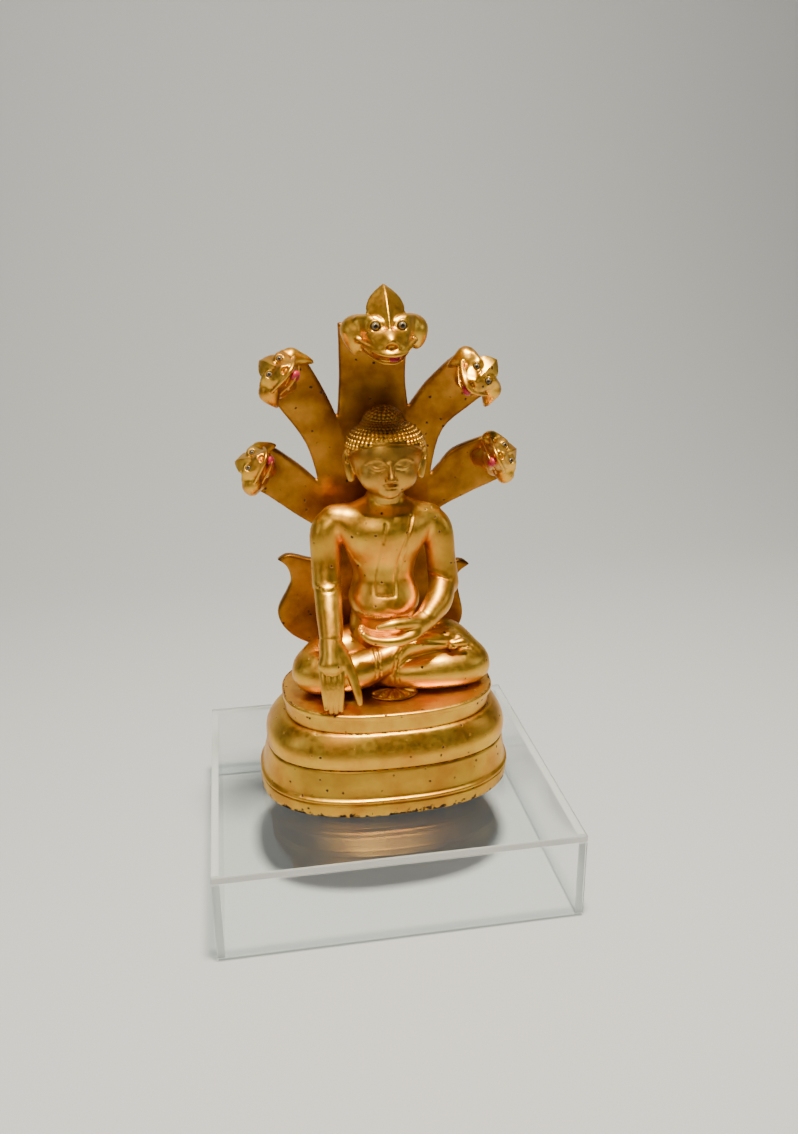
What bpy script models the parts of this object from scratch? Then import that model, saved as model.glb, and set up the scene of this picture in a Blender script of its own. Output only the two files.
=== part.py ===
"""A gilded seated Buddha sheltered by five naga heads, on a clear acrylic riser box.

The origin is at the middle of the riser's underside, with +Z up and the front towards -Y.
Sizes are written in millimetres and turned to metres where a mesh is made.
"""

import math

import bmesh
import bpy
from mathutils import Matrix, Vector

MM = 0.001
GAP = 0.3  # left between pieces that touch

# Riser box of acrylic sheet
RISER_WIDTH = 300.0
RISER_DEPTH = 275.0
RISER_HEIGHT = 78.5
SHEET = 6.0

# Oval base of the figure, from the riser's top upwards
BASE_CENTRE = (4.0, -2.0)
BASE_HALF_WIDTH = 109.5
BASE_HALF_DEPTH = 79.0
BASE_POWER = 2.5  # 2 is an ellipse, and more is nearer to a rectangle
BASE_LEAN = 0.05  # the side under the figure's left knee stands this much steeper
FOOT_HEIGHT = 40.0
ROLL_HEIGHT = 29.7
SEAT_HEIGHT = 17.1
BASE_SIDES = 48

# Seated figure, measured from the middle of the seat's top
FIGURE_AXIS = 7.0
SEAT_TOP = RISER_HEIGHT + FOOT_HEIGHT + ROLL_HEIGHT + SEAT_HEIGHT
NECK_JOINT = 168.0
HEAD_OFFSET = 3.0
TORSO_POWER = 2.2
TORSO_SIDES = 28

# Back plank and the flat necks, which spread from a hub between the shoulders
PLANK_MIDDLE = 43.0
PLANK_THICKNESS = 9.0
SHOULDER_X = 47.0
SHOULDER_Z = 168.0
HUB_HEIGHT = 150.0
HUB_RADIUS = 50.0
BEND = 0.0012  # forward set in mm for each mm of reach, squared

GOLD = (0.86, 0.52, 0.13, 1.0)
DARK_GOLD = (0.55, 0.27, 0.06, 1.0)
LACQUER_RED = (0.55, 0.05, 0.10, 1.0)
ACRYLIC = (0.86, 0.90, 0.92, 1.0)
GLASS = (0.75, 0.75, 0.70, 1.0)

# Colour, metallic, roughness and, for a clear one, transmission
FINISHES = {
    "gold": (GOLD, 1.0, 0.32),
    "dark_gold": (DARK_GOLD, 1.0, 0.42),
    "lacquer": (LACQUER_RED, 0.0, 0.4),
    "acrylic": (ACRYLIC, 0.0, 0.05, 0.9),
    "glass": (GLASS, 0.0, 0.1),
}


def clear_scene():
    for obj in list(bpy.data.objects):
        bpy.data.objects.remove(obj)


def new_collection(name):
    collection = bpy.data.collections.new(name)
    bpy.context.scene.collection.children.link(collection)
    return collection


def new_material(name, colour, metallic, roughness, transmission=0.0):
    material = bpy.data.materials.new(name)
    material.use_nodes = True
    shader = material.node_tree.nodes["Principled BSDF"]
    shader.inputs["Base Color"].default_value = colour
    shader.inputs["Metallic"].default_value = metallic
    shader.inputs["Roughness"].default_value = roughness
    shader.inputs["Transmission Weight"].default_value = transmission
    return material


def place(name, bm, colour, parent=None):
    """Closes a bmesh in millimetres into a named object of the figure or the riser."""
    bmesh.ops.scale(bm, vec=(MM, MM, MM), verts=bm.verts)
    bmesh.ops.recalc_face_normals(bm, faces=bm.faces)
    mesh = bpy.data.meshes.new(name)
    bm.to_mesh(mesh)
    bm.free()
    mesh.materials.append(new_material(name + "_finish", *FINISHES[colour]))
    mesh.shade_smooth()
    mesh.set_sharp_from_angle(angle=math.radians(40))
    obj = bpy.data.objects.new(name, mesh)
    PARTS.objects.link(obj)
    obj.parent = parent
    return obj


# Rings, lofts and boxes


def oval(half_x, half_y, z, centre=(0.0, 0.0), power=2.0, sides=BASE_SIDES):
    """A level ring of points on a superellipse."""
    ring = []
    for i in range(sides):
        angle = 2 * math.pi * i / sides
        c, s = math.cos(angle), math.sin(angle)
        x = half_x * math.copysign(abs(c) ** (2 / power), c)
        y = half_y * math.copysign(abs(s) ** (2 / power), s)
        ring.append(Vector((centre[0] + x, centre[1] + y, z)))
    return ring


def loft(rings):
    """One closed skin through unlike rings that have the same number of points."""
    bm = bmesh.new()
    loops = [[bm.verts.new(point) for point in ring] for ring in rings]
    for lower, upper in zip(loops, loops[1:]):
        for i in range(len(lower)):
            j = (i + 1) % len(lower)
            bm.faces.new((lower[i], lower[j], upper[j], upper[i]))
    bm.faces.new(list(reversed(loops[0])))
    bm.faces.new(loops[-1])
    return bm


def block(low, high, bevel=0.0):
    """A box between two corners, with its edges broken by a small bevel."""
    bm = bmesh.new()
    size = Vector(high) - Vector(low)
    middle = (Vector(high) + Vector(low)) / 2
    bmesh.ops.create_cube(bm, matrix=Matrix.Translation(middle) @ Matrix.Diagonal(size.to_4d()))
    if bevel:
        bmesh.ops.bevel(bm, geom=bm.edges, offset=bevel, segments=1, affect="EDGES")
    return bm


def slice_off(bm, point, normal):
    """Cuts away what lies on the normal's side of a plane, and closes the cut."""
    geometry = bm.verts[:] + bm.edges[:] + bm.faces[:]
    cut = bmesh.ops.bisect_plane(bm, geom=geometry, plane_co=point, plane_no=normal, clear_outer=True)
    edges = [item for item in cut["geom_cut"] if isinstance(item, bmesh.types.BMEdge)]
    bmesh.ops.triangle_fill(bm, edges=edges, use_beauty=True)
    return bm


# Carved forms: overlapping balls and limbs fused into one skin


def ball(centre, radii, turn=(0.0, 0.0, 0.0), sides=24):
    """An ellipsoid, turned by degrees about X, Y and Z."""
    bm = bmesh.new()
    bmesh.ops.create_uvsphere(bm, u_segments=sides, v_segments=sides * 2 // 3, radius=1.0)
    angles = [math.radians(a) for a in turn]
    rotation = Matrix.Rotation(angles[2], 4, "Z") @ Matrix.Rotation(angles[1], 4, "Y")
    rotation = rotation @ Matrix.Rotation(angles[0], 4, "X")
    bm.transform(Matrix.Translation(centre) @ rotation @ Matrix.Diagonal((*radii, 1.0)))
    return bm


def limb(stations, sides=4):
    """A tapered tube through (x, y, z, radius) stations, as a bevelled curve made a mesh."""
    curve = bpy.data.curves.new("limb", "CURVE")
    curve.dimensions = "3D"
    curve.bevel_depth = 1.0
    curve.bevel_resolution = sides
    curve.resolution_u = 5
    curve.use_fill_caps = True
    spline = curve.splines.new("BEZIER")
    spline.bezier_points.add(len(stations) - 1)
    for point, (x, y, z, radius) in zip(spline.bezier_points, stations):
        point.co = (x, y, z)
        point.radius = radius
        point.handle_left_type = "AUTO"
        point.handle_right_type = "AUTO"
    guide = bpy.data.objects.new("limb", curve)
    CUTTERS.objects.link(guide)
    graph = bpy.context.evaluated_depsgraph_get()
    mesh = bpy.data.meshes.new_from_object(guide.evaluated_get(graph))
    bpy.data.objects.remove(guide)
    bm = bmesh.new()
    bm.from_mesh(mesh)
    bpy.data.meshes.remove(mesh)
    bmesh.ops.remove_doubles(bm, verts=bm.verts, dist=0.01)
    return bm


def round_ends(stations):
    """Balls that round off the two ends of a limb."""
    ends = (stations[0], stations[-1])
    return [ball((x, y, z), (radius, radius, radius)) for x, y, z, radius in ends]


def fuse(pieces, grain, faces, polish=4):
    """Fuses overlapping closed forms by a voxel skin, polishes it and thins it to so many faces."""
    joined = bmesh.new()
    for piece in pieces:
        mesh = bpy.data.meshes.new("piece")
        piece.to_mesh(mesh)
        piece.free()
        joined.from_mesh(mesh)
        bpy.data.meshes.remove(mesh)
    mesh = bpy.data.meshes.new("carving")
    joined.to_mesh(mesh)
    joined.free()
    carving = bpy.data.objects.new("carving", mesh)
    CUTTERS.objects.link(carving)
    skin = carving.modifiers.new("skin", "REMESH")
    skin.mode = "VOXEL"
    skin.voxel_size = grain
    smooth = carving.modifiers.new("polish", "SMOOTH")
    smooth.factor = 0.5
    smooth.iterations = polish
    graph = bpy.context.evaluated_depsgraph_get()
    found = len(carving.evaluated_get(graph).data.polygons) * 2
    thin = carving.modifiers.new("thin", "DECIMATE")
    thin.ratio = min(1.0, faces / found)
    graph = bpy.context.evaluated_depsgraph_get()
    result = bpy.data.meshes.new_from_object(carving.evaluated_get(graph))
    bpy.data.objects.remove(carving)
    bm = bmesh.new()
    bm.from_mesh(result)
    bpy.data.meshes.remove(result)
    return bm


def make_room(obj, neighbour, gap=GAP):
    """Cuts a piece back from its neighbour, with the gap between them."""
    cutter = bpy.data.objects.new(obj.name + "_seat_of_" + neighbour.name, neighbour.data)
    CUTTERS.objects.link(cutter)
    cutter.parent = neighbour.parent
    cutter.matrix_basis = neighbour.matrix_basis
    cutter.hide_render = True
    cutter.display_type = "WIRE"
    for source in neighbour.modifiers:
        if source.type == "BOOLEAN":
            repeat = cutter.modifiers.new(source.name, "BOOLEAN")
            repeat.operation = source.operation
            repeat.object = source.object
    grow = cutter.modifiers.new("gap", "DISPLACE")
    grow.strength = gap * MM
    grow.mid_level = 0.0
    cut = obj.modifiers.new("room_for_" + neighbour.name, "BOOLEAN")
    cut.operation = "DIFFERENCE"
    cut.object = cutter


# Riser


def build_riser():
    half_x, half_y = RISER_WIDTH / 2, RISER_DEPTH / 2
    wall_top = RISER_HEIGHT - SHEET - GAP
    inner_y = half_y - SHEET - GAP
    plates = {
        "riser_top": ((-half_x, -half_y, RISER_HEIGHT - SHEET), (half_x, half_y, RISER_HEIGHT)),
        "riser_front": ((-half_x, -half_y, 0), (half_x, -half_y + SHEET, wall_top)),
        "riser_back": ((-half_x, half_y - SHEET, 0), (half_x, half_y, wall_top)),
        "riser_left": ((-half_x, -inner_y, 0), (-half_x + SHEET, inner_y, wall_top)),
        "riser_right": ((half_x - SHEET, -inner_y, 0), (half_x, inner_y, wall_top)),
    }
    for name, (low, high) in plates.items():
        place(name, block(low, high, bevel=0.4), "acrylic")


# Base: a splayed foot, a round roll and the seat


def moulding(name, bottom, height, profile):
    """A piece of the base from (inset, share of height) pairs, bottom to top."""
    rings = []
    for inset_x, inset_y, share in profile:
        z = bottom + share * height
        lean = BASE_LEAN * (z - RISER_HEIGHT)
        half_x = BASE_HALF_WIDTH - inset_x + lean
        half_y = BASE_HALF_DEPTH - inset_y
        centre = (BASE_CENTRE[0] + lean, BASE_CENTRE[1])
        rings.append(oval(half_x, half_y, z, centre, BASE_POWER))
    return place(name, loft(rings), "gold")


def build_base():
    foot_bottom = RISER_HEIGHT + GAP
    roll_bottom = RISER_HEIGHT + FOOT_HEIGHT
    seat_bottom = roll_bottom + ROLL_HEIGHT
    moulding(
        "base_foot",
        foot_bottom,
        FOOT_HEIGHT - 2 * GAP,
        (
            (0.8, 0.8, 0.0),
            (0.0, 0.0, 0.05),
            (0.3, 0.3, 0.29),
            (1.0, 1.0, 0.31),
            (0.0, 0.0, 0.34),
            (0.6, 0.6, 0.39),
            (2.2, 2.2, 0.42),
            (4.6, 4.6, 0.68),
            (7.2, 7.2, 0.95),
            (8.6, 8.6, 1.0),
        ),
    )
    moulding(
        "base_roll",
        roll_bottom,
        ROLL_HEIGHT - GAP,
        (
            (8.6, 8.6, 0.0),
            (7.2, 7.2, 0.06),
            (6.8, 6.8, 0.28),
            (8.4, 8.0, 0.5),
            (12.0, 10.4, 0.72),
            (16.8, 12.8, 0.88),
            (22.0, 15.6, 1.0),
        ),
    )
    moulding(
        "base_seat",
        seat_bottom,
        SEAT_HEIGHT - GAP,
        (
            (24.0, 16.8, 0.0),
            (24.2, 17.0, 0.66),
            (22.4, 15.2, 0.72),
            (22.0, 14.8, 0.93),
            (23.0, 15.8, 1.0),
        ),
    )


# Seated figure


def build_legs(axis):
    left = [
        (20, 14, 26, 24),
        (40, 9, 28, 23.5),
        (54, 2, 29, 20.5),
        (68, -7, 20, 18.5),
        (73, -14, 16, 16.5),
        (56, -22, 17, 16.5),
        (30, -23, 16.5, 15.5),
        (8, -19, 15, 14),
        (-6, -14, 13, 11),
    ]
    right = [
        (-20, 14, 25, 23),
        (-45, 9, 22, 22),
        (-62, -12, 19, 18.5),
        (-45, -21, 19, 16.5),
        (-26, -23, 21, 15.5),
        (-8, -21, 26, 14),
        (8, -17, 34, 12),
    ]
    foot = [
        (12, -17, 36, 10.5),
        (28, -18, 40, 9.5),
        (44, -18, 42, 9.5),
        (55, -17, 42, 8.5),
    ]
    floor = (0, 0, 0)
    down = (0, 0, -1)
    left_leg = fuse([limb(left)] + round_ends(left), grain=1.6, faces=560)
    left_leg = place("left_leg", slice_off(left_leg, floor, down), "gold", axis)
    right_leg = fuse([limb(right)] + round_ends(right), grain=1.6, faces=560)
    right_leg = place("right_leg", slice_off(right_leg, floor, down), "gold", axis)
    right_foot = fuse([limb(foot)] + round_ends(foot), grain=1.2, faces=400)
    right_foot = place("right_foot", right_foot, "gold", axis)
    return left_leg, right_leg, right_foot


def build_torso(axis):
    """Rings are half width, half depth, height, shift in x and y."""
    rings = (
        (28, 22, 0.0, 0, 14),
        (33, 25, 20, 0, 12),
        (31, 27, 50, 0, 6),
        (30, 29, 72, 0, 1),
        (28, 27.5, 86, 0, 1),
        (23.5, 22.5, 97, 0.5, 3),
        (28, 23.5, 112, 0.5, 3),
        (36, 26, 130, 1, 2),
        (40, 26, 143, 1, 2),
        (38, 22, 154, 1, 3),
        (26, 16, 161, 2, 4),
        (17, 14, 165, HEAD_OFFSET, 3),
        (15, 13.5, NECK_JOINT, HEAD_OFFSET, 1),
    )
    skin = [oval(hx, hy, z, (cx, cy), TORSO_POWER, TORSO_SIDES) for hx, hy, z, cx, cy in rings]
    return place("torso", loft(skin), "gold", axis)


def build_arms(axis):
    right = [
        (-40, 3, 148, 13),
        (-47, 2, 138, 13.5),
        (-48, 0, 116, 12.5),
        (-49, -7, 93, 12),
        (-47.5, -26, 73, 11),
        (-47, -40, 58, 10),
    ]
    left = [
        (41, 3, 144, 13),
        (47, 2, 134, 13.5),
        (50, 0, 110, 12.5),
        (53, -3, 84, 13),
        (44, -21, 75, 12),
        (31, -36, 71, 10),
    ]
    right_arm = fuse([limb(right)] + round_ends(right), grain=1.4, faces=360)
    slice_off(right_arm, (-47, -41, 56), (0, -0.62, -0.78))
    left_arm = fuse([limb(left)] + round_ends(left), grain=1.4, faces=360)
    slice_off(left_arm, (30, -37, 71), (-0.85, -0.53, 0))
    return (
        place("right_arm", right_arm, "gold", axis),
        place("left_arm", left_arm, "gold", axis),
    )


def build_hands(axis):
    palm = limb([(-47, -41, 58, 9.5), (-50, -49, 44, 11), (-51.5, -53, 34, 11)])
    pieces = [palm]
    for i in range(4):
        x = -60 + 5.6 * i
        pieces.append(
            limb(
                [
                    (x + 1.5, -52, 38, 3.6),
                    (x, -56, 24, 3.5),
                    (x - 0.6, -58, 12, 3.2),
                    (x, -57, 3.8, 2.6),
                ],
                sides=2,
            )
        )
    thumb = [(-40, -46, 48, 5.5), (-33, -54, 32, 4.4), (-28, -60, 14, 3.2)]
    pieces.append(limb(thumb, sides=2))
    pieces.append(ball((-28, -60, 13), (3.2, 3.2, 4)))
    right_hand = fuse(pieces, grain=0.9, faces=700, polish=2)
    slice_off(right_hand, (-47, -41.2, 55.7), (0, 0.62, 0.78))
    slice_off(right_hand, (0, 0, 0.1), (0, 0, -1))

    pieces = [limb([(32, -35, 71, 9), (18, -41, 64, 10), (4, -42, 60, 9.5)])]
    for i in range(4):
        z = 67 - 4.6 * i
        y = -42 - 1.5 * i
        pieces.append(
            limb(
                [(6, y, z, 3.4), (-8, y - 1, z, 3.3), (-20, y, z, 3.0), (-26, y + 1, z, 2.4)],
                sides=2,
            )
        )
    thumb = [(20, -46, 70, 5), (6, -51, 73, 4.2), (-8, -51, 73, 3.2)]
    pieces.append(limb(thumb, sides=2))
    left_hand = fuse(pieces, grain=0.9, faces=700, polish=2)
    slice_off(left_hand, (29.7, -37.2, 71), (0.85, 0.53, 0))
    return (
        place("right_hand", right_hand, "gold", axis),
        place("left_hand", left_hand, "gold", axis),
    )


def build_head(axis):
    x = HEAD_OFFSET
    pieces = [
        ball((x, -4, 204), (29, 28, 30)),
        ball((x, -12, 189), (22, 19, 18)),
        ball((x, -22, 178), (9, 10, 7)),
        ball((x, -31, 195), (4, 6, 9)),
        limb([(x, 0, NECK_JOINT - 4, 14), (x, 0, NECK_JOINT + 12, 14)]),
    ]
    for side in (-1, 1):
        pieces.append(ball((x + 30 * side, -1, 203), (4.5, 6, 12)))
        pieces.append(ball((x + 29 * side, -3, 190), (4, 5, 10)))
    head = fuse(pieces, grain=1.4, faces=760)
    slice_off(head, (0, 0, NECK_JOINT + GAP), (0, 0, -1))
    slice_off(head, (0, -30, 217), (0, -0.25, 0.97))
    place("head", head, "gold", axis)
    cap = [
        ball((x, 0, 212), (34, 33, 21)),
        ball((x, 5, 226), (18, 17, 15)),
    ]
    cap = fuse(cap, grain=1.4, faces=700)
    slice_off(cap, (0, -30, 217.4), (0, 0.25, -0.97))
    place("hair_cap", cap, "dark_gold", axis)


def build_robe_hem(axis):
    outline = [(-19, -30), (-16, -39), (-6, -43), (4, -44), (14, -42), (22, -36), (23, -28)]
    outline += [(12, -24), (0, -23), (-12, -25)]
    rings = [[Vector((px, py, z)) for px, py in outline] for z in (0.0, 4.0)]
    return place("robe_hem", loft(rings), "gold", axis)


# Back plank, necks and naga heads


def outline_mesh(outline):
    """The filled 2D curve through (x, z, kind) points, as a bmesh standing in the XZ plane."""
    curve = bpy.data.curves.new("outline", "CURVE")
    curve.dimensions = "2D"
    curve.fill_mode = "BOTH"
    curve.extrude = PLANK_THICKNESS / 2
    curve.resolution_u = 4
    spline = curve.splines.new("BEZIER")
    spline.use_cyclic_u = True
    spline.bezier_points.add(len(outline) - 1)
    for point, (x, z, kind) in zip(spline.bezier_points, outline):
        point.co = (x, z, 0)
        handle = "AUTO" if kind == "round" else "VECTOR"
        point.handle_left_type = handle
        point.handle_right_type = handle
    guide = bpy.data.objects.new("outline", curve)
    CUTTERS.objects.link(guide)
    graph = bpy.context.evaluated_depsgraph_get()
    mesh = bpy.data.meshes.new_from_object(guide.evaluated_get(graph))
    bpy.data.objects.remove(guide)
    bm = bmesh.new()
    bm.from_mesh(mesh)
    bpy.data.meshes.remove(mesh)
    bmesh.ops.remove_doubles(bm, verts=bm.verts, dist=0.01)
    bm.transform(Matrix.Rotation(math.radians(90), 4, "X"))
    return bm


def plank_middle(x, z):
    """How far back the boards' middle plane lies at a place on it."""
    reach = max(0.0, math.hypot(x, max(0.0, z - HUB_HEIGHT)) - HUB_RADIUS)
    return PLANK_MIDDLE - BEND * reach * reach


def plank(name, outline, axis):
    """A board that bends forward with its distance from the hub between the shoulders."""
    bm = outline_mesh(outline)
    for vert in bm.verts:
        vert.co.y += plank_middle(vert.co.x, vert.co.z)
    return place(name, bm, "dark_gold", axis)


CORNER, ROUND = "corner", "round"
LEFT_LOBE = [
    (36, 0.0, CORNER),
    (42, 16, ROUND),
    (62, 22, ROUND),
    (80, 34, ROUND),
    (89, 54, ROUND),
    (80, 74, ROUND),
    (76, 84, ROUND),
    (79, 96, ROUND),
    (87, 104, CORNER),
    (76, 108, ROUND),
    (52, 102, ROUND),
    (44, 118, ROUND),
    (SHOULDER_X, 128, CORNER),
    (SHOULDER_X, SHOULDER_Z, CORNER),
]
LEFT_LOBE_MIRRORED = [(-x, z, kind) for x, z, kind in reversed(LEFT_LOBE)]
RIGHT_LOBE = [
    (36, 0.0, CORNER),
    (42, 14, ROUND),
    (60, 17, ROUND),
    (74, 27, ROUND),
    (79, 42, ROUND),
    (75, 62, ROUND),
    (72, 74, ROUND),
    (76, 82, ROUND),
    (85, 88, CORNER),
    (76, 93, ROUND),
    (54, 92, ROUND),
    (44, 116, ROUND),
    (SHOULDER_X, 128, CORNER),
    (SHOULDER_X, SHOULDER_Z, CORNER),
]
NECKS = {
    "central": [
        (-14 + GAP, SHOULDER_Z + GAP, CORNER),
        (14 - GAP, SHOULDER_Z + GAP, CORNER),
        (27.9, 229.5, CORNER),
        (26.5, 262, ROUND),
        (29, 303, CORNER),
        (-29, 304, CORNER),
        (-28.5, 262, ROUND),
        (-29.6, 222.7, CORNER),
    ],
    "upper_left": [
        (-SHOULDER_X, SHOULDER_Z + GAP, CORNER),
        (-14, SHOULDER_Z + GAP, CORNER),
        (-30, 222.7, CORNER),
        (-38, 243, ROUND),
        (-51.3, 268.2, ROUND),
        (-60, 281, CORNER),
        (-89, 253, CORNER),
        (-78.8, 237.4, ROUND),
        (-57.6, 204.7, ROUND),
    ],
    "upper_right": [
        (SHOULDER_X, SHOULDER_Z + GAP, CORNER),
        (58.7, 211.4, ROUND),
        (85.5, 234.9, ROUND),
        (96, 242, CORNER),
        (78, 281, CORNER),
        (68.6, 275.7, ROUND),
        (46.4, 255.3, ROUND),
        (28.3, 229.5, CORNER),
        (14, SHOULDER_Z + GAP, CORNER),
    ],
    "lower_left": [
        (-SHOULDER_X - GAP, 128, CORNER),
        (-SHOULDER_X - GAP, SHOULDER_Z, CORNER),
        (-60, 183, ROUND),
        (-83, 201.7, ROUND),
        (-95, 205, CORNER),
        (-108, 172, CORNER),
        (-95.9, 164.7, ROUND),
        (-75, 148, ROUND),
        (-57.7, 135.3, ROUND),
    ],
    "lower_right": [
        (SHOULDER_X + GAP, 133, CORNER),
        (63.4, 145.3, ROUND),
        (87.6, 156.9, ROUND),
        (111, 167.2, ROUND),
        (119, 172, CORNER),
        (110, 206, CORNER),
        (102, 206.7, ROUND),
        (70, 195.2, ROUND),
        (56, 181, ROUND),
        (SHOULDER_X + GAP, SHOULDER_Z, CORNER),
    ],
}

# Each head: turn, nod and roll in degrees, place of the skull's middle, size, and the points
# where the crest and the two cheek lobes end, the figure's right one first
HEADS = {
    "central": (
        (0, 0, 0),
        (3, 2, 301),
        1.0,
        (0, -5.5, 34.6),
        (-23, -13, -15),
        (25, -10, -12),
    ),
    "upper_left": (
        (-5.4, -24.2, 56.7),
        (-77.8, 6, 266.2),
        0.704,
        (0, -14, 28),
        (-29, 6, -12),
        (33, -1, -20),
    ),
    "upper_right": (
        (-13.9, 1.2, -51.4),
        (81.2, 6, 264.6),
        0.727,
        (0, -14, 27),
        (-26, -5, -20),
        (34, 0, -16),
    ),
    "lower_left": (
        (-3.4, -35.6, 76),
        (-100.8, 15, 190.1),
        0.66,
        (0, -14, 27),
        (-27, 12, 0),
        (33, -10, -16),
    ),
    "lower_right": (
        (3.6, -20.2, -71.6),
        (100.3, 15, 190.8),
        0.671,
        (0, -14, 25),
        (-29, -12, -8),
        (29, -2, -4),
    ),
}
EYE_PLACE = (10.2, -30.0, 6.0)
EYE_RADIUS = 3.7
TONGUE_PLACE = (3, -33, -19)
NAPE_STEP = 10.0  # a neck holds its head this far short of the skull's middle


def nape_of(centre):
    """The place on a neck's front where it holds the head with this middle."""
    x, _, z = centre
    reach = math.hypot(x, z - HUB_HEIGHT)
    x -= NAPE_STEP * x / reach
    z -= NAPE_STEP * (z - HUB_HEIGHT) / reach
    return Vector((x, plank_middle(x, z) - PLANK_THICKNESS / 2, z))


def naga_head_form(crest, flares, nape):
    """A broad flat snout under a ridged leaf crest, with lobed cheeks. It faces -Y, up is +Z."""
    crest = Vector(crest)
    brow = Vector((0, -28, 2))
    lean = math.degrees(math.atan2(crest.y - brow.y - 8, crest.z - brow.z))
    pieces = [
        ball((0, -7, 1), (25, 21, 12.5)),
        ball((0, 12, -3), (22, 17, 13)),
        ball((0, -25, -3), (18, 19, 9.5)),
        ball((0, -36, -7.5), (11, 11, 6.5)),
        ball((0, -19, -16), (14, 18, 5.5), (8, 0, 0)),
        ball((0, crest.y - 7, crest.z / 2), (15.5, 5, crest.z / 2 + 1), (-lean, 0, 0)),
        limb([(*brow, 4.0), (0, crest.y - 12, crest.z * 0.55, 3.4), (*crest, 1.6)]),
        limb([(-20, -26, -7, 3.2), (0, -44, -13, 3.4), (20, -26, -7, 3.2)]),
        limb([(0, 4, -2, 14), (*nape, 12)]),
    ]
    for side, flare in zip((-1, 1), flares):
        middle = (0.55 * flare[0] + 11 * side, 0.5 * flare[1] - 6, 0.5 * flare[2] - 1)
        pieces.append(ball((22 * side, -6, 1), (12.5, 14, 11.5)))
        pieces.append(ball((10.2 * side, -23, 5), (8.5, 9, 8)))
        pieces.append(limb([(22 * side, -9, 0, 8.5), (*middle, 6.8), (*flare, 3.2)]))
    return fuse(pieces, grain=1.1, faces=560)


def build_back(axis):
    plank("back_plank", LEFT_LOBE_MIRRORED + RIGHT_LOBE, axis)
    return {side: plank("neck_" + side, outline, axis) for side, outline in NECKS.items()}


def build_naga_heads(axis, necks):
    """Heads pegged to the front of the necks, each with two glass eyes and a painted tongue."""
    for side, (turns, centre, scale, crest, *flares) in HEADS.items():
        turn, nod, roll = (math.radians(angle) for angle in turns)
        rotation = Matrix.Rotation(turn, 4, "Z") @ Matrix.Rotation(nod, 4, "X")
        rotation = rotation @ Matrix.Rotation(-roll, 4, "Y")
        seat = Matrix.Translation(centre) @ rotation @ Matrix.Scale(scale, 4)
        form = naga_head_form(crest, flares, seat.inverted() @ nape_of(centre))
        form.transform(seat)
        head = place("naga_head_" + side, form, "gold", axis)
        for hand, sign in (("right", -1), ("left", 1)):
            x, y, z = EYE_PLACE
            bead = ball((sign * x, y, z), (EYE_RADIUS,) * 3, sides=9)
            bead.transform(seat)
            eye = place(f"eye_{side}_{hand}", bead, "glass", axis)
            make_room(head, eye, gap=0.2)
        tongue = ball(TONGUE_PLACE, (6, 8, 4.2), (-8, 0, 0), sides=9)
        tongue.transform(seat)
        tongue = place("tongue_" + side, tongue, "lacquer", axis)
        make_room(head, tongue, gap=0.2)
        make_room(head, necks[side])


def main():
    build_riser()
    build_base()
    axis = bpy.data.objects.new("figure_axis", None)
    axis.location = (FIGURE_AXIS * MM, 0, SEAT_TOP * MM)
    PARTS.objects.link(axis)
    bpy.context.view_layer.update()
    torso = build_torso(axis)
    left_leg, right_leg, right_foot = build_legs(axis)
    right_arm, left_arm = build_arms(axis)
    right_hand, left_hand = build_hands(axis)
    build_head(axis)
    robe_hem = build_robe_hem(axis)
    make_room(left_leg, torso)
    make_room(right_leg, torso)
    make_room(right_leg, left_leg)
    for neighbour in (torso, left_leg, right_leg):
        make_room(right_foot, neighbour)
    make_room(right_arm, torso)
    make_room(left_arm, torso)
    make_room(right_hand, right_leg)
    for neighbour in (torso, left_leg, right_leg, right_foot):
        make_room(left_hand, neighbour)
    for neighbour in (left_leg, right_leg):
        make_room(robe_hem, neighbour)
    necks = build_back(axis)
    build_naga_heads(axis, necks)


clear_scene()
PARTS = new_collection("naga_sheltered_buddha")
CUTTERS = new_collection("cutters")
main()
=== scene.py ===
"""Looks of a gilded seated shrine figure under five naga heads, on a clear acrylic riser box."""

import math

import bmesh
import bpy
import numpy as np
from mathutils import Matrix, Vector, noise
from mathutils.bvhtree import BVHTree


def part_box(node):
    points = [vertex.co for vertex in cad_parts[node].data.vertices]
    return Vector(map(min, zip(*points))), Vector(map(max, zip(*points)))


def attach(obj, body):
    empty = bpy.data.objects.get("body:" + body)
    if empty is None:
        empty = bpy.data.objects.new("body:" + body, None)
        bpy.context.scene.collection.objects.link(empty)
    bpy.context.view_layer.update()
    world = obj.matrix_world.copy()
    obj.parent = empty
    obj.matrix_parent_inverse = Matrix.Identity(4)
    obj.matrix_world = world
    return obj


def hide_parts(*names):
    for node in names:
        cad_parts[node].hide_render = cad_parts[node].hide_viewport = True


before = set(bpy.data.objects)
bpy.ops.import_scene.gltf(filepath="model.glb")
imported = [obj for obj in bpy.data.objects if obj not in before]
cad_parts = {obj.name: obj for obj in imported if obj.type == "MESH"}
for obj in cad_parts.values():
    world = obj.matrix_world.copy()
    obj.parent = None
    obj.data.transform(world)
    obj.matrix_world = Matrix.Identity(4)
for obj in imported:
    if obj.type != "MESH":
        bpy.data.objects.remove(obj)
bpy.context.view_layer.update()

# Camera
# It stands where the photograph was taken from: in front of the figure, a little to its
# right side, and looking down on the riser's top plate.
CAMERA_PLACE = Vector((-0.1107, -0.7768, 0.5555))
CAMERA_TURN, CAMERA_TILT, CAMERA_LEAN = 9.605, 19.98, -0.571
FOCAL_LENGTH_PIXELS = 988.4
PICTURE_HEIGHT_PIXELS = 1134
SENSOR_MM = 36.0


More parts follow.
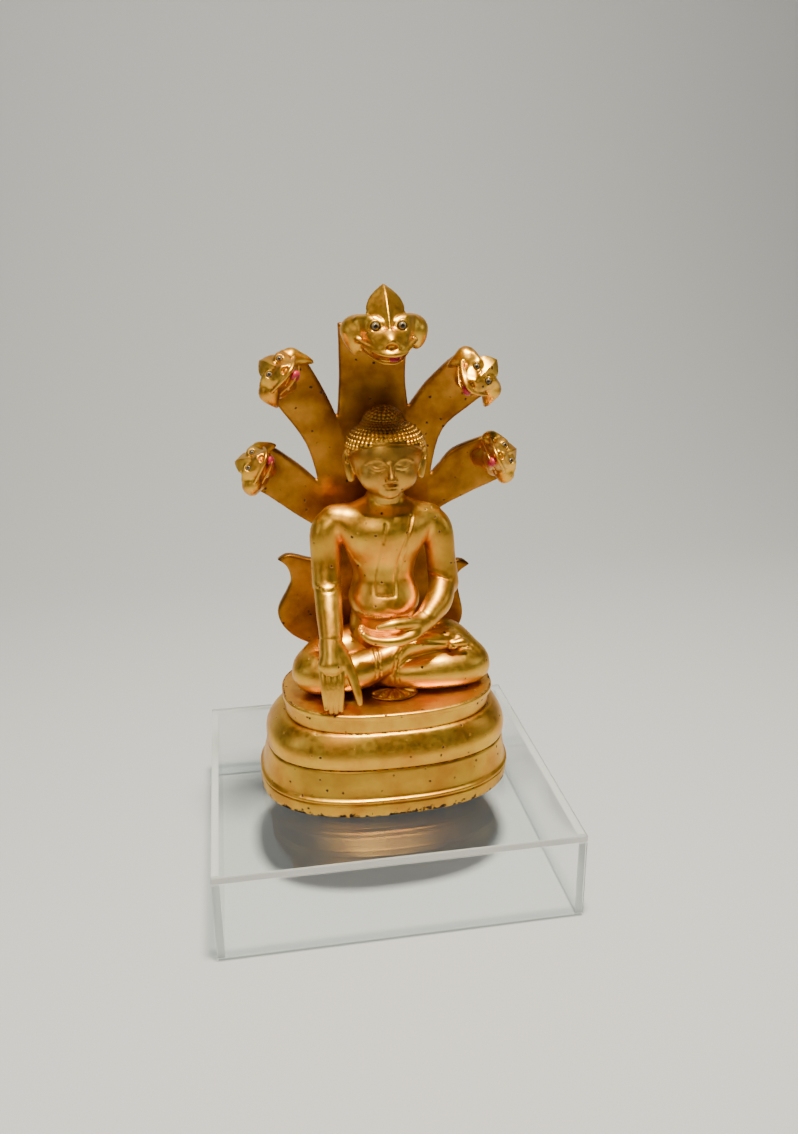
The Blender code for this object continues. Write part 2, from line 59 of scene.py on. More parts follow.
def look(turn, tilt, lean):
    """The camera's axes for a turn to the right, a tilt down and a lean, in degrees."""
    turn, tilt, lean = (math.radians(angle) for angle in (turn, tilt, lean))
    ahead = Vector((math.sin(turn) * math.cos(tilt), math.cos(turn) * math.cos(tilt), -math.sin(tilt)))
    right = Vector((math.cos(turn), -math.sin(turn), 0.0))
    up = right.cross(ahead)
    right, up = (
        right * math.cos(lean) + up * math.sin(lean),
        up * math.cos(lean) - right * math.sin(lean),
    )
    return Matrix((right, up, -ahead)).transposed()


camera = bpy.data.objects.new("camera", bpy.data.cameras.new("camera"))
bpy.context.scene.collection.objects.link(camera)
camera.matrix_world = Matrix.Translation(CAMERA_PLACE) @ look(
    CAMERA_TURN, CAMERA_TILT, CAMERA_LEAN
).to_4x4()
camera.data.sensor_width = SENSOR_MM
camera.data.lens = FOCAL_LENGTH_PIXELS * SENSOR_MM / PICTURE_HEIGHT_PIXELS
bpy.context.scene.camera = camera

# Floor and studio light
# A pale matt paper sweep runs under the riser and up behind it. A soft lamp hangs above and a
# little in front, and three weak ones fill in from the front and the two sides.
SWEEP_HALF_WIDTH = 4.0
SWEEP_FRONT = -3.0
SWEEP_BACK = 1.6
SWEEP_HEIGHT = 3.2
SWEEP_BEND = 0.9
BEND_STEPS = 24
MM = 0.001


def linear(hex_colour):
    """An sRGB hex colour such as #d9a441 as linear RGBA."""
    channels = [int(hex_colour[i : i + 2], 16) / 255 for i in (1, 3, 5)]
    return [*(c / 12.92 if c <= 0.04045 else ((c + 0.055) / 1.055) ** 2.4 for c in channels), 1.0]


def add(tree, kind, inputs=None, **settings):
    """Adds a node with its settings. An input is given a value, or another node's output socket."""
    node = tree.nodes.new(kind)
    for name, value in settings.items():
        setattr(node, name, value)
    for key, value in (inputs or {}).items():
        if isinstance(value, bpy.types.NodeSocket):
            tree.links.new(value, node.inputs[key])
        else:
            node.inputs[key].default_value = value
    return node


def every(millimetres):
    """The scale at which a pattern's grains come every so many millimetres of the real surface."""
    return 1 / (millimetres * MM)


def new_finish(name):
    """An empty node material, with its Principled shader to be filled in."""
    material = bpy.data.materials.new(name)
    material.use_nodes = True
    tree = material.node_tree
    return material, tree, tree.nodes["Principled BSDF"]


def link_mesh(name, mesh):
    """A new object in the scene, at the origin, with this mesh."""
    obj = bpy.data.objects.new(name, mesh)
    bpy.context.scene.collection.objects.link(obj)
    return obj


def clouded(tree, grain, detail, first, second):
    """A colour that drifts between two others in clouds, which come every so many millimetres."""
    place = add(tree, "ShaderNodeTexCoord").outputs["Object"]
    cloud = add(tree, "ShaderNodeTexNoise", {"Vector": place, "Scale": every(grain), "Detail": detail})
    colours = {0: cloud.outputs[0], 1: linear(first), 2: linear(second)}
    return add(tree, "ShaderNodeMixRGB", colours).outputs[0]


paper, paper_tree, paper_shader = new_finish("matt_paper")
# Uncoated paper: dull, with a tone that varies a little with its fibres, about 1 mm long.
paper_tone = clouded(paper_tree, 1.1, 2.0, "#c6ccd3", "#d0d5db")
paper_tree.links.new(paper_tone, paper_shader.inputs["Base Color"])
paper_shader.inputs["Roughness"].default_value = 0.75

sweep_line = [(SWEEP_FRONT, 0.0), (SWEEP_BACK - SWEEP_BEND, 0.0)]
for step in range(1, BEND_STEPS + 1):
    angle = math.radians(90 * step / BEND_STEPS)
    sweep_line.append(
        (SWEEP_BACK - SWEEP_BEND + SWEEP_BEND * math.sin(angle), SWEEP_BEND * (1 - math.cos(angle)))
    )
sweep_line.append((SWEEP_BACK, SWEEP_HEIGHT))
sweep_mesh = bpy.data.meshes.new("floor")
sweep_points = [(side * SWEEP_HALF_WIDTH, y, z) for y, z in sweep_line for side in (-1, 1)]
sweep_faces = [(2 * i, 2 * i + 1, 2 * i + 3, 2 * i + 2) for i in range(len(sweep_line) - 1)]
sweep_mesh.from_pydata(sweep_points, [], sweep_faces)
sweep_mesh.shade_smooth()
sweep_mesh.materials.append(paper)
link_mesh("floor", sweep_mesh)


def soft_light(name, place, aim, size, power, colour):
    """A square area light that faces its aim."""
    lamp = bpy.data.lights.new(name, "AREA")
    lamp.size = size
    lamp.energy = power
    lamp.color = linear(colour)[:3]
    light = bpy.data.objects.new(name, lamp)
    light.location = place
    light.rotation_euler = (Vector(aim) - Vector(place)).to_track_quat("-Z", "Y").to_euler()
    bpy.context.scene.collection.objects.link(light)


LIGHT_AIM = (0.0, 0.0, 0.25)
soft_light("top_light", (0.05, -0.3, 1.7), LIGHT_AIM, 0.22, 60.0, "#fff2da")
soft_light("front_light", (-0.55, -1.35, 1.25), LIGHT_AIM, 0.5, 5.0, "#fff2da")
soft_light("left_light", (-1.7, -0.5, 0.8), LIGHT_AIM, 0.6, 2.0, "#eef3ff")
soft_light("right_light", (1.8, -0.4, 0.9), LIGHT_AIM, 0.6, 2.0, "#eef3ff")
world = bpy.data.worlds.new("studio")
bpy.context.scene.world = world
world.use_nodes = True
world.node_tree.nodes["Background"].inputs["Color"].default_value = linear("#b9c6d2")
world.node_tree.nodes["Background"].inputs["Strength"].default_value = 0.08

# Riser box
# Five plates of clear cast acrylic, 6 mm thick, glued edge to edge into an open-bottomed
# box. The faces are polished. The sawn edges are flame-polished; their milky, paler look is a painted
# highlight.
SHEET_CHAMFER = 0.5 * MM
FACING = 0.9  # a side whose normal leans this much to the thin axis is one of the sheet's faces

acrylic, acrylic_tree, acrylic_shader = new_finish("cast_acrylic_sheet")
# Polished cast acrylic: clear as water, with hair-fine wiping scratches that only dull its gloss
# here and there. Lamplight passes straight through it, so what stands on it casts its shadow.
acrylic_place = add(acrylic_tree, "ShaderNodeTexCoord")
wiping_marks = add(
    acrylic_tree, "ShaderNodeTexNoise",
    {"Vector": acrylic_place.outputs["Object"], "Scale": every(17), "Detail": 6.0, "Distortion": 1.5},
)
acrylic_gloss = add(
    acrylic_tree, "ShaderNodeMapRange",
    {0: wiping_marks.outputs[0], 1: 0.5, 2: 0.85, 3: 0.0, 4: 0.012},
)
acrylic_tree.links.new(acrylic_gloss.outputs[0], acrylic_shader.inputs["Roughness"])
acrylic_shader.inputs["Base Color"].default_value = linear("#fbfdfd")
acrylic_shader.inputs["IOR"].default_value = 1.49
acrylic_shader.inputs["Transmission Weight"].default_value = 1.0

painted_glow_edge, edge_tree, edge_shader = new_finish("flame_polished_edge")
# The edge of the same sheet, set milky and pale as a painted highlight for the light it gathers along the
# sheet.
edge_place = add(edge_tree, "ShaderNodeTexCoord")
saw_lines = add(
    edge_tree, "ShaderNodeTexNoise",
    {"Vector": edge_place.outputs["Object"], "Scale": every(5), "Detail": 3.0},
)
edge_gloss = add(
    edge_tree, "ShaderNodeMapRange", {0: saw_lines.outputs[0], 1: 0.3, 2: 0.7, 3: 0.1, 4: 0.16}
)
edge_tree.links.new(edge_gloss.outputs[0], edge_shader.inputs["Roughness"])
edge_shader.inputs["Base Color"].default_value = linear("#f8fafa")
edge_shader.inputs["IOR"].default_value = 1.49
edge_shader.inputs["Transmission Weight"].default_value = 0.25


def let_light_through(tree, shader, tint):
    """Lets lamps and stray light pass the clear sheet, where the renderer would shade what is below."""
    ray = add(tree, "ShaderNodeLightPath").outputs
    passing = add(
        tree, "ShaderNodeMath", {0: ray["Is Shadow Ray"], 1: ray["Is Diffuse Ray"]}, operation="MAXIMUM"
    )
    clear = add(tree, "ShaderNodeBsdfTransparent", {"Color": linear(tint)})
    both = add(
        tree, "ShaderNodeMixShader", {0: passing.outputs[0], 1: shader.outputs[0], 2: clear.outputs[0]}
    )
    tree.links.new(both.outputs[0], tree.nodes["Material Output"].inputs["Surface"])


let_light_through(acrylic_tree, acrylic_shader, "#f6f9f9")
let_light_through(edge_tree, edge_shader, "#b8c0c2")

RISER_PLATES = {"riser_top": 2, "riser_front": 1, "riser_back": 1, "riser_left": 0, "riser_right": 0}
for node, thin_axis in RISER_PLATES.items():
    low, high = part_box(node)
    block = Matrix.Translation((low + high) / 2) @ Matrix.Diagonal((high - low).to_4d())
    plate = bmesh.new()
    bmesh.ops.create_cube(plate, matrix=block)
    bmesh.ops.bevel(plate, geom=plate.edges, offset=SHEET_CHAMFER, segments=2, affect="EDGES")
    plate.normal_update()
    for face in plate.faces:
        face.material_index = 0 if abs(face.normal[thin_axis]) > FACING else 1
    mesh = bpy.data.meshes.new(node + "_sheet")
    plate.to_mesh(mesh)
    plate.free()
    mesh.materials.append(acrylic)
    mesh.materials.append(painted_glow_edge)
    sheet = link_mesh(node + "_sheet", mesh)
    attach(sheet, "root")
    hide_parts(node)

# Base
# Carved and turned-looking oval mouldings of wood: a splayed foot with a bead above its rim,
# a fat round roll and a thin seat slab. Lacquered red-brown, then covered in gold leaf.
RISER_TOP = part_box("riser_top")[1].z / MM
BASE_CENTRE = (4.0, -2.0)
BASE_HALF_WIDTH = 109.5
BASE_HALF_DEPTH = 79.0
BASE_POWER = 2.5  # 2 is an ellipse, and more is nearer to a rectangle
BASE_LEAN = 0.05  # the side under the figure's left knee stands this much steeper
BASE_SIDES = 260
HAND_WOBBLE = 0.35
BLUR_PASSES = 10

# What varies over the gilding: how many millimetres apart, in how much detail and how roughly
GILDING_GRAINS = {
    "tone": (22, 5.0, 0.5),  # from leaf to leaf
    "crowding": (14, 2.0, 0.5),  # where pits gather
    "fray": (1.1, 2.0, 0.5),  # the pits' ragged edges
    "wear": (6, 8.0, 0.65),
    "burnish": (4.5, 4.0, 0.6),  # streaks and dull spots in the gloss
    "waves": (14, 1.0, 0.5),  # left by the carver's hand
    "dents": (4, 1.0, 0.5),
    "brush": (2.4, 3.0, 0.5),  # marks in the lacquer
}
PIT_SPACING = 9
RELIEFS = {"waves": 0.22, "dents": 0.07, "brush": 0.03}  # their heights in millimetres
WORN_DEPTH = 0.2

# Leaf is lost where the wear pattern, and 0.13 for each millimetre that the spot stands out or
# lies sunk, come to about 0.8 in all. More than 2.6 mm of relief wears no faster.
RELIEF_WEAR = 0.13
MOST_RELIEF = 2.6
WEAR_STARTS, WEAR_ENDS = 0.76, 0.82


def leaf_gold(name, bright, warm, lacquer, wear, gloss):
    """Gold leaf laid over red-brown lacquer and burnished, worn through where hands and cloths rub, with
    painted shade in its hollows.
    """
    material, tree, shader = new_finish(name)
    place = add(tree, "ShaderNodeTexCoord").outputs["Object"]
    relief = add(tree, "ShaderNodeAttribute", attribute_name="relief").outputs["Fac"]
    grains = {}
    for grain, (size, detail, roughness) in GILDING_GRAINS.items():
        settings = {"Vector": place, "Scale": every(size), "Detail": detail, "Roughness": roughness}
        grains[grain] = add(tree, "ShaderNodeTexNoise", settings).outputs[0]

    # The gold's tone drifts from leaf to leaf, and is darkened in the hollows as painted shade.
    tone = add(tree, "ShaderNodeMapRange", {0: grains["tone"], 1: 0.35, 2: 0.65}).outputs[0]
    gold = add(tree, "ShaderNodeMixRGB", {0: tone, 1: linear(warm), 2: linear(bright)}).outputs[0]
    painted_hollow_shade = add(tree, "ShaderNodeMapRange", {0: relief, 1: -0.2, 2: -1.5}).outputs[0]
    hollow_shaded_gold = add(
        tree, "ShaderNodeMixRGB",
        {0: 1.0, 1: gold, 2: linear("#a08c74")}, blend_type="MULTIPLY",
    ).outputs[0]
    gold = add(tree, "ShaderNodeMixRGB", {0: painted_hollow_shade, 1: gold, 2: hollow_shaded_gold}).outputs[0]

    # Pits in the lacquer ground, 1 to 2 mm wide.
    cells = add(tree, "ShaderNodeTexVoronoi", {"Vector": place, "Scale": every(PIT_SPACING)})
    frayed = add(
        tree, "ShaderNodeMath", {0: grains["fray"], 1: 0.22, 2: cells.outputs["Distance"]},
        operation="MULTIPLY_ADD",
    ).outputs[0]
    pinhole = add(tree, "ShaderNodeMapRange", {0: frayed, 1: 0.27, 2: 0.2}).outputs[0]
    sparse = add(tree, "ShaderNodeMapRange", {0: grains["crowding"], 1: 0.46, 2: 0.53}).outputs[0]
    pinhole = add(tree, "ShaderNodeMath", {0: pinhole, 1: sparse}, operation="MULTIPLY").outputs[0]

    # Wear: ragged patches a few millimetres wide, most of them on edges and in dirty creases.
    proud = add(tree, "ShaderNodeMath", {0: relief}, operation="ABSOLUTE").outputs[0]
    proud = add(tree, "ShaderNodeMath", {0: proud, 1: MOST_RELIEF}, operation="MINIMUM").outputs[0]
    worn = add(
        tree, "ShaderNodeMath", {0: proud, 1: RELIEF_WEAR, 2: grains["wear"]}, operation="MULTIPLY_ADD"
    ).outputs[0]
    worn = add(
        tree, "ShaderNodeMapRange", {0: worn, 1: WEAR_STARTS - wear, 2: WEAR_ENDS - wear}
    ).outputs[0]
    worn = add(tree, "ShaderNodeMath", {0: worn, 1: pinhole}, operation="MAXIMUM").outputs[0]

    colour = add(tree, "ShaderNodeMixRGB", {0: worn, 1: gold, 2: linear(lacquer)}).outputs[0]
    tree.links.new(colour, shader.inputs["Base Color"])
    metal = add(tree, "ShaderNodeMapRange", {0: worn, 1: 0.0, 2: 1.0, 3: 1.0, 4: 0.35}).outputs[0]
    tree.links.new(metal, shader.inputs["Metallic"])

    # Burnishing left streaks and dull spots in the gloss, and worn lacquer is duller than leaf.
    gleam = add(
        tree, "ShaderNodeMapRange", {0: grains["burnish"], 1: 0.3, 2: 0.7, 3: gloss - 0.05, 4: gloss + 0.08}
    ).outputs[0]
    dull = add(tree, "ShaderNodeMath", {0: worn, 1: 0.3, 2: gleam}, operation="MULTIPLY_ADD").outputs[0]
    tree.links.new(dull, shader.inputs["Roughness"])

    # Bump, in metres: what the carver's and the gilder's hands left, less the worn spots and pits.
    height = 0.0
    rises = [(grains[grain], rise) for grain, rise in RELIEFS.items()]
    for pattern, rise in (*rises, (worn, -WORN_DEPTH)):
        height = add(
            tree, "ShaderNodeMath", {0: pattern, 1: rise * MM, 2: height}, operation="MULTIPLY_ADD"
        ).outputs[0]
    bump = add(tree, "ShaderNodeBump", {"Height": height, "Distance": 1.0, "Strength": 0.9})
    tree.links.new(bump.outputs[0], shader.inputs["Normal"])
    return material


body_gold = leaf_gold("burnished_gold_leaf", "#f0bb42", "#dc9833", "#43220d", 0.0, 0.36)
# A darker copy of the gold: partly rubbed leaf, partly painted shade for the hair dome and the gaps between
# the curls.
shaded_rubbed_gold = leaf_gold("rubbed_gold_leaf", "#bf8f3a", "#83571e", "#241309", 0.06, 0.4)
# A darker copy for the back boards: partly aged leaf, partly painted shade on their downward-facing fronts.
shaded_board_gold = leaf_gold("darkened_gold_leaf", "#c88a30", "#8f571d", "#331b0c", 0.03, 0.42)
face_gold = leaf_gold("dulled_gold_leaf", "#dba949", "#be8334", "#43220d", 0.0, 0.38)


def mark_relief(mesh):
    """Stores how far each point stands out from its surroundings, in millimetres, for wear, dirt and
    painted shade in hollows.
    """
    count = len(mesh.vertices)
    places = np.empty(count * 3)
    mesh.vertices.foreach_get("co", places)
    places = places.reshape(-1, 3) / MM
    normals = np.empty(count * 3)
    mesh.vertices.foreach_get("normal", normals)
    ends = np.empty(len(mesh.edges) * 2, dtype=np.int64)
    mesh.edges.foreach_get("vertices", ends)
    a, b = ends.reshape(-1, 2).T
    from_ends, to_ends = np.concatenate((a, b)), np.concatenate((b, a))
    links = np.maximum(np.bincount(from_ends, minlength=count), 1)[:, None]
    blurred = places.copy()
    for _ in range(BLUR_PASSES):
        sums = [np.bincount(from_ends, blurred[to_ends, k], minlength=count) for k in range(3)]
        blurred = np.stack(sums, axis=1) / links
    stands = ((places - blurred) * normals.reshape(-1, 3)).sum(axis=1)
    mesh.attributes.new("relief", "FLOAT", "POINT").data.foreach_set("value", stands.astype(np.float32))


def finish_piece(obj, material, slot, *nodes):
    """Gives a finished mesh its material and its place in the frame."""
    obj.data.materials.append(material)
    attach(obj, "root")
    if nodes:
        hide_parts(*nodes)
    return obj


def smooth_path(stations, steps):
    """Points of a Catmull-Rom curve through the stations, with so many steps between two."""
    stations = np.array(stations, float)
    ends = np.vstack((2 * stations[0] - stations[1], stations, 2 * stations[-1] - stations[-2]))
    path = []
    for i in range(1, len(ends) - 2):
        p0, p1, p2, p3 = ends[i - 1 : i + 3]
        for t in np.linspace(0, 1, steps, endpoint=False):
            path.append(
                0.5 * (2 * p1 + (p2 - p0) * t + (2 * p0 - 5 * p1 + 4 * p2 - p3) * t**2
                       + (3 * p1 - p0 - 3 * p2 + p3) * t**3)
            )
    path.append(stations[-1])
    return np.array(path)


def oval_moulding(name, profile, node):
    """A closed oval piece from (inset in x, inset in y, height above the riser) stations."""
    mesh = bmesh.new()
    loops = []
    for inset_x, inset_y, height in smooth_path(profile, 5):
        loop = []
        for i in range(BASE_SIDES):
            angle = 2 * math.pi * i / BASE_SIDES
            c, s = math.cos(angle), math.sin(angle)
            lean = BASE_LEAN * height
            wobble = HAND_WOBBLE * noise.noise(Vector((2.5 * c, 2.5 * s, height / 25)))
            half_x = BASE_HALF_WIDTH - inset_x + lean + wobble
            half_y = BASE_HALF_DEPTH - inset_y + wobble
            x = BASE_CENTRE[0] + lean + half_x * math.copysign(abs(c) ** (2 / BASE_POWER), c)
            y = BASE_CENTRE[1] + half_y * math.copysign(abs(s) ** (2 / BASE_POWER), s)
            loop.append(mesh.verts.new(Vector((x, y, RISER_TOP + height)) * MM))
        loops.append(loop)
    for lower, upper in zip(loops, loops[1:]):
        for i in range(BASE_SIDES):
            j = (i + 1) % BASE_SIDES
            mesh.faces.new((lower[i], lower[j], upper[j], upper[i]))
    mesh.faces.new(list(reversed(loops[0])))
    top = loops[-1]
    middle = sum((v.co for v in top), Vector()) / BASE_SIDES
    for share in (0.97, 0.8, 0.5, 0.2):
        inner = [mesh.verts.new(middle + (v.co - middle) * share) for v in loops[-1]]
        for i in range(BASE_SIDES):
            j = (i + 1) % BASE_SIDES
            mesh.faces.new((top[i], top[j], inner[j], inner[i]))
        top = inner
    mesh.faces.new(top)
    bmesh.ops.recalc_face_normals(mesh, faces=mesh.faces)
    data = bpy.data.meshes.new(name)
    mesh.to_mesh(data)
    mesh.free()
    data.shade_smooth()
    data.set_sharp_from_angle(angle=math.radians(60))
    mark_relief(data)
    return finish_piece(link_mesh(name, data), body_gold, "gold_leaf", node)


FOOT_PROFILE = [
    (1.6, 1.6, 0.3), (0.6, 0.6, 0.7), (0.1, 0.1, 2.2), (0.0, 0.0, 6.0), (0.3, 0.3, 10.4),
    (0.8, 0.8, 11.5), (1.5, 1.5, 11.9), (1.3, 1.3, 12.3), (0.3, 0.3, 12.9), (0.0, 0.0, 14.0),
    (0.4, 0.4, 15.2), (1.5, 1.5, 16.0), (2.3, 2.3, 16.9), (3.0, 3.0, 19.0), (4.8, 4.8, 27.5),
    (6.6, 6.6, 35.5), (7.4, 7.4, 38.4), (8.8, 8.8, 39.7),
]
ROLL_PROFILE = [
    (9.4, 9.4, 40.0), (7.9, 7.9, 40.4), (7.1, 7.1, 41.6), (6.7, 6.7, 45.0), (6.9, 6.9, 50.0),
    (8.4, 8.1, 55.0), (11.3, 10.0, 60.0), (15.2, 12.2, 64.8), (19.0, 14.2, 68.0), (23.2, 16.4, 69.4),
]
SEAT_PROFILE = [
    (25.0, 17.8, 69.7), (24.0, 16.8, 70.2), (24.1, 16.9, 76.0), (24.3, 17.1, 80.4), (24.0, 16.8, 81.0),
    (22.7, 15.5, 81.5), (22.1, 14.9, 82.2), (22.0, 14.8, 84.6), (22.3, 15.1, 85.8), (23.4, 16.2, 86.5),
]
gilded_foot = oval_moulding("gilded_foot", FOOT_PROFILE, "base_foot")
oval_moulding("gilded_roll", ROLL_PROFILE, "base_roll")
oval_moulding("gilded_seat", SEAT_PROFILE, "base_seat")

# The foot's rim is rubbed and chipped wherever it was stood down
RUBBED_HEIGHT = 9.0
RUBBING = 2.6
rubbed = gilded_foot.data.attributes["relief"].data
for vert in gilded_foot.data.vertices:
    height = vert.co.z / MM - RISER_TOP
    rubbed[vert.index].value += RUBBING * max(0.0, 1 - height / RUBBED_HEIGHT)

# Crossed legs
# Both legs are carved from the same block as the body, under a thin clinging robe whose
# double hem crosses each shin. The right foot lies on the left thigh, sole up, toes outwards.
FIGURE_PLACE = np.array((7.0, 0.0, 165.3))
FAR = 50.0  # the distance held where there is nothing yet
POLISH_PASSES = 2

# A leaf's half width along its length, as shares: it narrows to a drawn-out point
LEAF_EDGE = [
    (0.0, 0.7), (0.2, 0.9), (0.42, 1.0), (0.6, 0.94), (0.75, 0.76), (0.87, 0.48), (0.95, 0.22), (1.0, 0.05)
]
LEAF_SHARES, LEAF_WIDTHS = smooth_path(LEAF_EDGE, 4).T


class Carving:
    """A block held as a field of distances in millimetres, negative inside the carved form."""

    def __init__(self, low, high, grain):
        self.low = np.array(low, float)
        self.grain = grain
        size = np.ceil((np.array(high, float) - self.low) / grain).astype(int) + 1
        self.field = np.full(size, FAR, dtype=np.float32)

    def window(self, low, high):
        """The part of the block between two corners, and the coordinates of its points."""
        first = np.floor((np.array(low) - self.low) / self.grain).astype(int)
        last = np.ceil((np.array(high) - self.low) / self.grain).astype(int) + 1
        first = np.clip(first, 0, self.field.shape)
        last = np.maximum(np.minimum(last, self.field.shape), first)
        spans = [np.arange(a, b) * self.grain + o for a, b, o in zip(first, last, self.low)]
        place = tuple(slice(a, b) for a, b in zip(first, last))
        return place, np.meshgrid(*spans, indexing="ij", sparse=True)

    def whole(self):
        """The whole block, and the coordinates of its points."""
        return self.window(self.low, self.low + np.array(self.field.shape) * self.grain)

    def join(self, place, form, soft):
        """Adds a form, with a fillet of about the soft width where it meets what is there."""
        here = self.field[place]
        share = np.clip(0.5 + 0.5 * (here - form) / soft, 0, 1)
        self.field[place] = here + (form - here) * share - soft * share * (1 - share)

    def cut(self, place, form, soft):
        """Takes a form away, with its edges rounded."""
        here = self.field[place]
        share = np.clip(0.5 - 0.5 * (here + form) / soft, 0, 1)
        self.field[place] = here + (-form - here) * share + soft * share * (1 - share)

    def ball_form(self, centre, radii, turn, margin):
        """An ellipsoid turned by degrees about X, Y and Z, as a place and its distances."""
        reach = max(radii) + margin
        centre = np.array(centre, float)
        place, (x, y, z) = self.window(centre - reach, centre + reach)
        angles = [math.radians(angle) for angle in turn]
        rotation = Matrix.Rotation(angles[2], 3, "Z") @ Matrix.Rotation(angles[1], 3, "Y")
        axes = np.array((rotation @ Matrix.Rotation(angles[0], 3, "X")).transposed())
        offsets = (x - centre[0], y - centre[1], z - centre[2])
        along = [sum(axes[k][i] * offsets[i] for i in range(3)) / radii[k] for k in range(3)]
        inner = np.sqrt(sum(a * a for a in along)) + 1e-6
        slope = np.sqrt(sum((a / r) ** 2 for a, r in zip(along, radii))) + 1e-6
        return place, inner * (inner - 1) / slope

    def ball(self, centre, radii, turn=(0, 0, 0), soft=3.0):
        """Adds an ellipsoid."""
        place, form = self.ball_form(centre, radii, turn, 3 * soft)
        self.join(place, form, soft)

    def scoop(self, centre, radii, turn=(0, 0, 0), soft=1.0):
        """Hollows out an ellipsoid."""
        place, form = self.ball_form(centre, radii, turn, 3 * soft)
        self.cut(place, form, soft)

    def path_form(self, stations, margin, steps=6):
        """Distances from a tapered round path through (x, y, z, radius) stations."""
        path = smooth_path(stations, steps)
        reach = path[:, 3].max() + margin
        place, _ = self.window(path[:, :3].min(0) - reach, path[:, :3].max(0) + reach)
        form = np.full([s.stop - s.start for s in place], FAR, dtype=np.float32)
        for start, end in zip(path, path[1:]):
            low = np.minimum(start[:3], end[:3]) - reach
            high = np.maximum(start[:3], end[:3]) + reach
            spot, (x, y, z) = self.window(low, high)
            inner = tuple(slice(s.start - p.start, s.stop - p.start) for s, p in zip(spot, place))
            line = end[:3] - start[:3]
            offsets = (x - start[0], y - start[1], z - start[2])
            along = sum(o * d for o, d in zip(offsets, line)) / max(line @ line, 1e-9)
            along = np.clip(along, 0, 1)
            gap = np.sqrt(sum((o - along * d) ** 2 for o, d in zip(offsets, line)))
            form[inner] = np.minimum(form[inner], gap - start[3] - along * (end[3] - start[3]))
        return place, form

    def limb(self, stations, soft=3.0):
        """Adds a tapered round path with round ends."""
        place, form = self.path_form(stations, 3 * soft)
        self.join(place, form, soft)

    def front(self, x, z):
        """Where a line from the front first meets the carved form, or None beside it."""
        i = int(round((x - self.low[0]) / self.grain))
        k = int(round((z - self.low[2]) / self.grain))
        inside = self.field[i, :, k] < 0
        return self.low[1] + int(np.argmax(inside)) * self.grain if inside.any() else None

    def on_front(self, points):
        """Sets (x, z) points on the carved surface, as seen from the front."""
        path = [(x, self.front(x, z), z) for x, z in smooth_path(points, 6)]
        return [point for point in path if point[1] is not None]

    def groove(self, points, width, depth):
        """Engraves a line along a path, or raises a welt where the depth is negative."""
        if len(points[0]) == 2:
            points = self.on_front(points)
        place, form = self.path_form([(*point, 0.0) for point in points], 3 * width, 2)
        self.field[place] += depth * np.exp(-((form / width) ** 2))

    def column(self, rings, power, soft):
        """A body of level ovals, from (half width, half depth, height, x, y) rings."""
        rings = smooth_path(rings, 6)
        heights = rings[:, 2]
        reach = rings[:, :2].max() + soft
        low = (rings[:, 3].min() - reach, rings[:, 4].min() - reach, heights[0] - soft)
        high = (rings[:, 3].max() + reach, rings[:, 4].max() + reach, heights[-1] + soft)
        place, (x, y, z) = self.window(low, high)
        half_x, half_y, middle_x, middle_y = (np.interp(z, heights, rings[:, k]) for k in (0, 1, 3, 4))
        across = np.abs((x - middle_x) / half_x) ** power + np.abs((y - middle_y) / half_y) ** power
        form = (across ** (1 / power) - 1) * np.minimum(half_x, half_y)
        self.join(place, np.maximum(form, np.maximum(heights[0] - z, z - heights[-1])), soft)

    def leaf(self, foot, tip, half_width, ridge, soft=1.0):
        """A leaf-shaped plate whose front rises like a roof to a sharp ridge down its middle."""
        foot, tip = np.array(foot, float), np.array(tip, float)
        length = np.linalg.norm(tip - foot)
        ahead = (tip - foot) / length
        across = np.array((1.0, 0.0, 0.0)) - ahead * ahead[0]
        across /= np.linalg.norm(across)
        front = np.cross(across, ahead)
        reach = half_width + ridge
        place, (x, y, z) = self.window(np.minimum(foot, tip) - reach, np.maximum(foot, tip) + reach)
        offsets = (x - foot[0], y - foot[1], z - foot[2])
        along, side, lift = (sum(o * d for o, d in zip(offsets, way)) for way in (ahead, across, front))
        share = np.clip(along / length, 0, 1)
        half = half_width * np.interp(share, LEAF_SHARES, LEAF_WIDTHS)
        side = np.abs(side)
        height = ridge * (1 - share**2.2) ** 0.8 + 0.8
        roof = (lift - height * (1 - side / half)) / np.sqrt(1 + (height / half) ** 2)
        ends = np.maximum(along - length, -along)
        form = np.maximum(np.maximum(0.8 * (side - half), roof), np.maximum(-lift - 1.6, ends))
        self.join(place, form, soft)

    def plate(self, outline, bottom, top, rounding):
        """A level plate of an (x, y) outline between two heights."""
        place, (x, y, z) = self.whole()
        edge = outline_distance(x, y, outline)
        face = np.abs(z - (bottom + top) / 2) - (top - bottom) / 2
        self.join(place, rounded(edge, face, rounding), 1.0)

    def slab(self, outline, middle, half_thickness, rounding, soft):
        """A board of an (x, z) outline whose middle plane is y = middle(x, z)."""
        place, (x, y, z) = self.whole()
        edge = outline_distance(x, z, outline)
        face = np.abs(y - middle(x, z)) - half_thickness
        self.join(place, rounded(edge, face, rounding), soft)

    def keep_above(self, height):
        """Saws the block off level, and keeps what is above."""
        place, (_, _, z) = self.whole()
        self.field[place] = np.maximum(self.field[place], height - z)

    def keep_below(self, height):
        """Saws the block off level, and keeps what is below."""
        place, (_, _, z) = self.whole()
        self.field[place] = np.maximum(self.field[place], z - height)

    def keep_over(self, line):
        """Keeps what is over a plane given by a front y, the height there and the rise with y."""
        place, (_, y, z) = self.whole()
        height = line[1] + line[2] * (y - line[0])
        self.field[place] = np.maximum(self.field[place], (height - z) / math.hypot(1, line[2]))

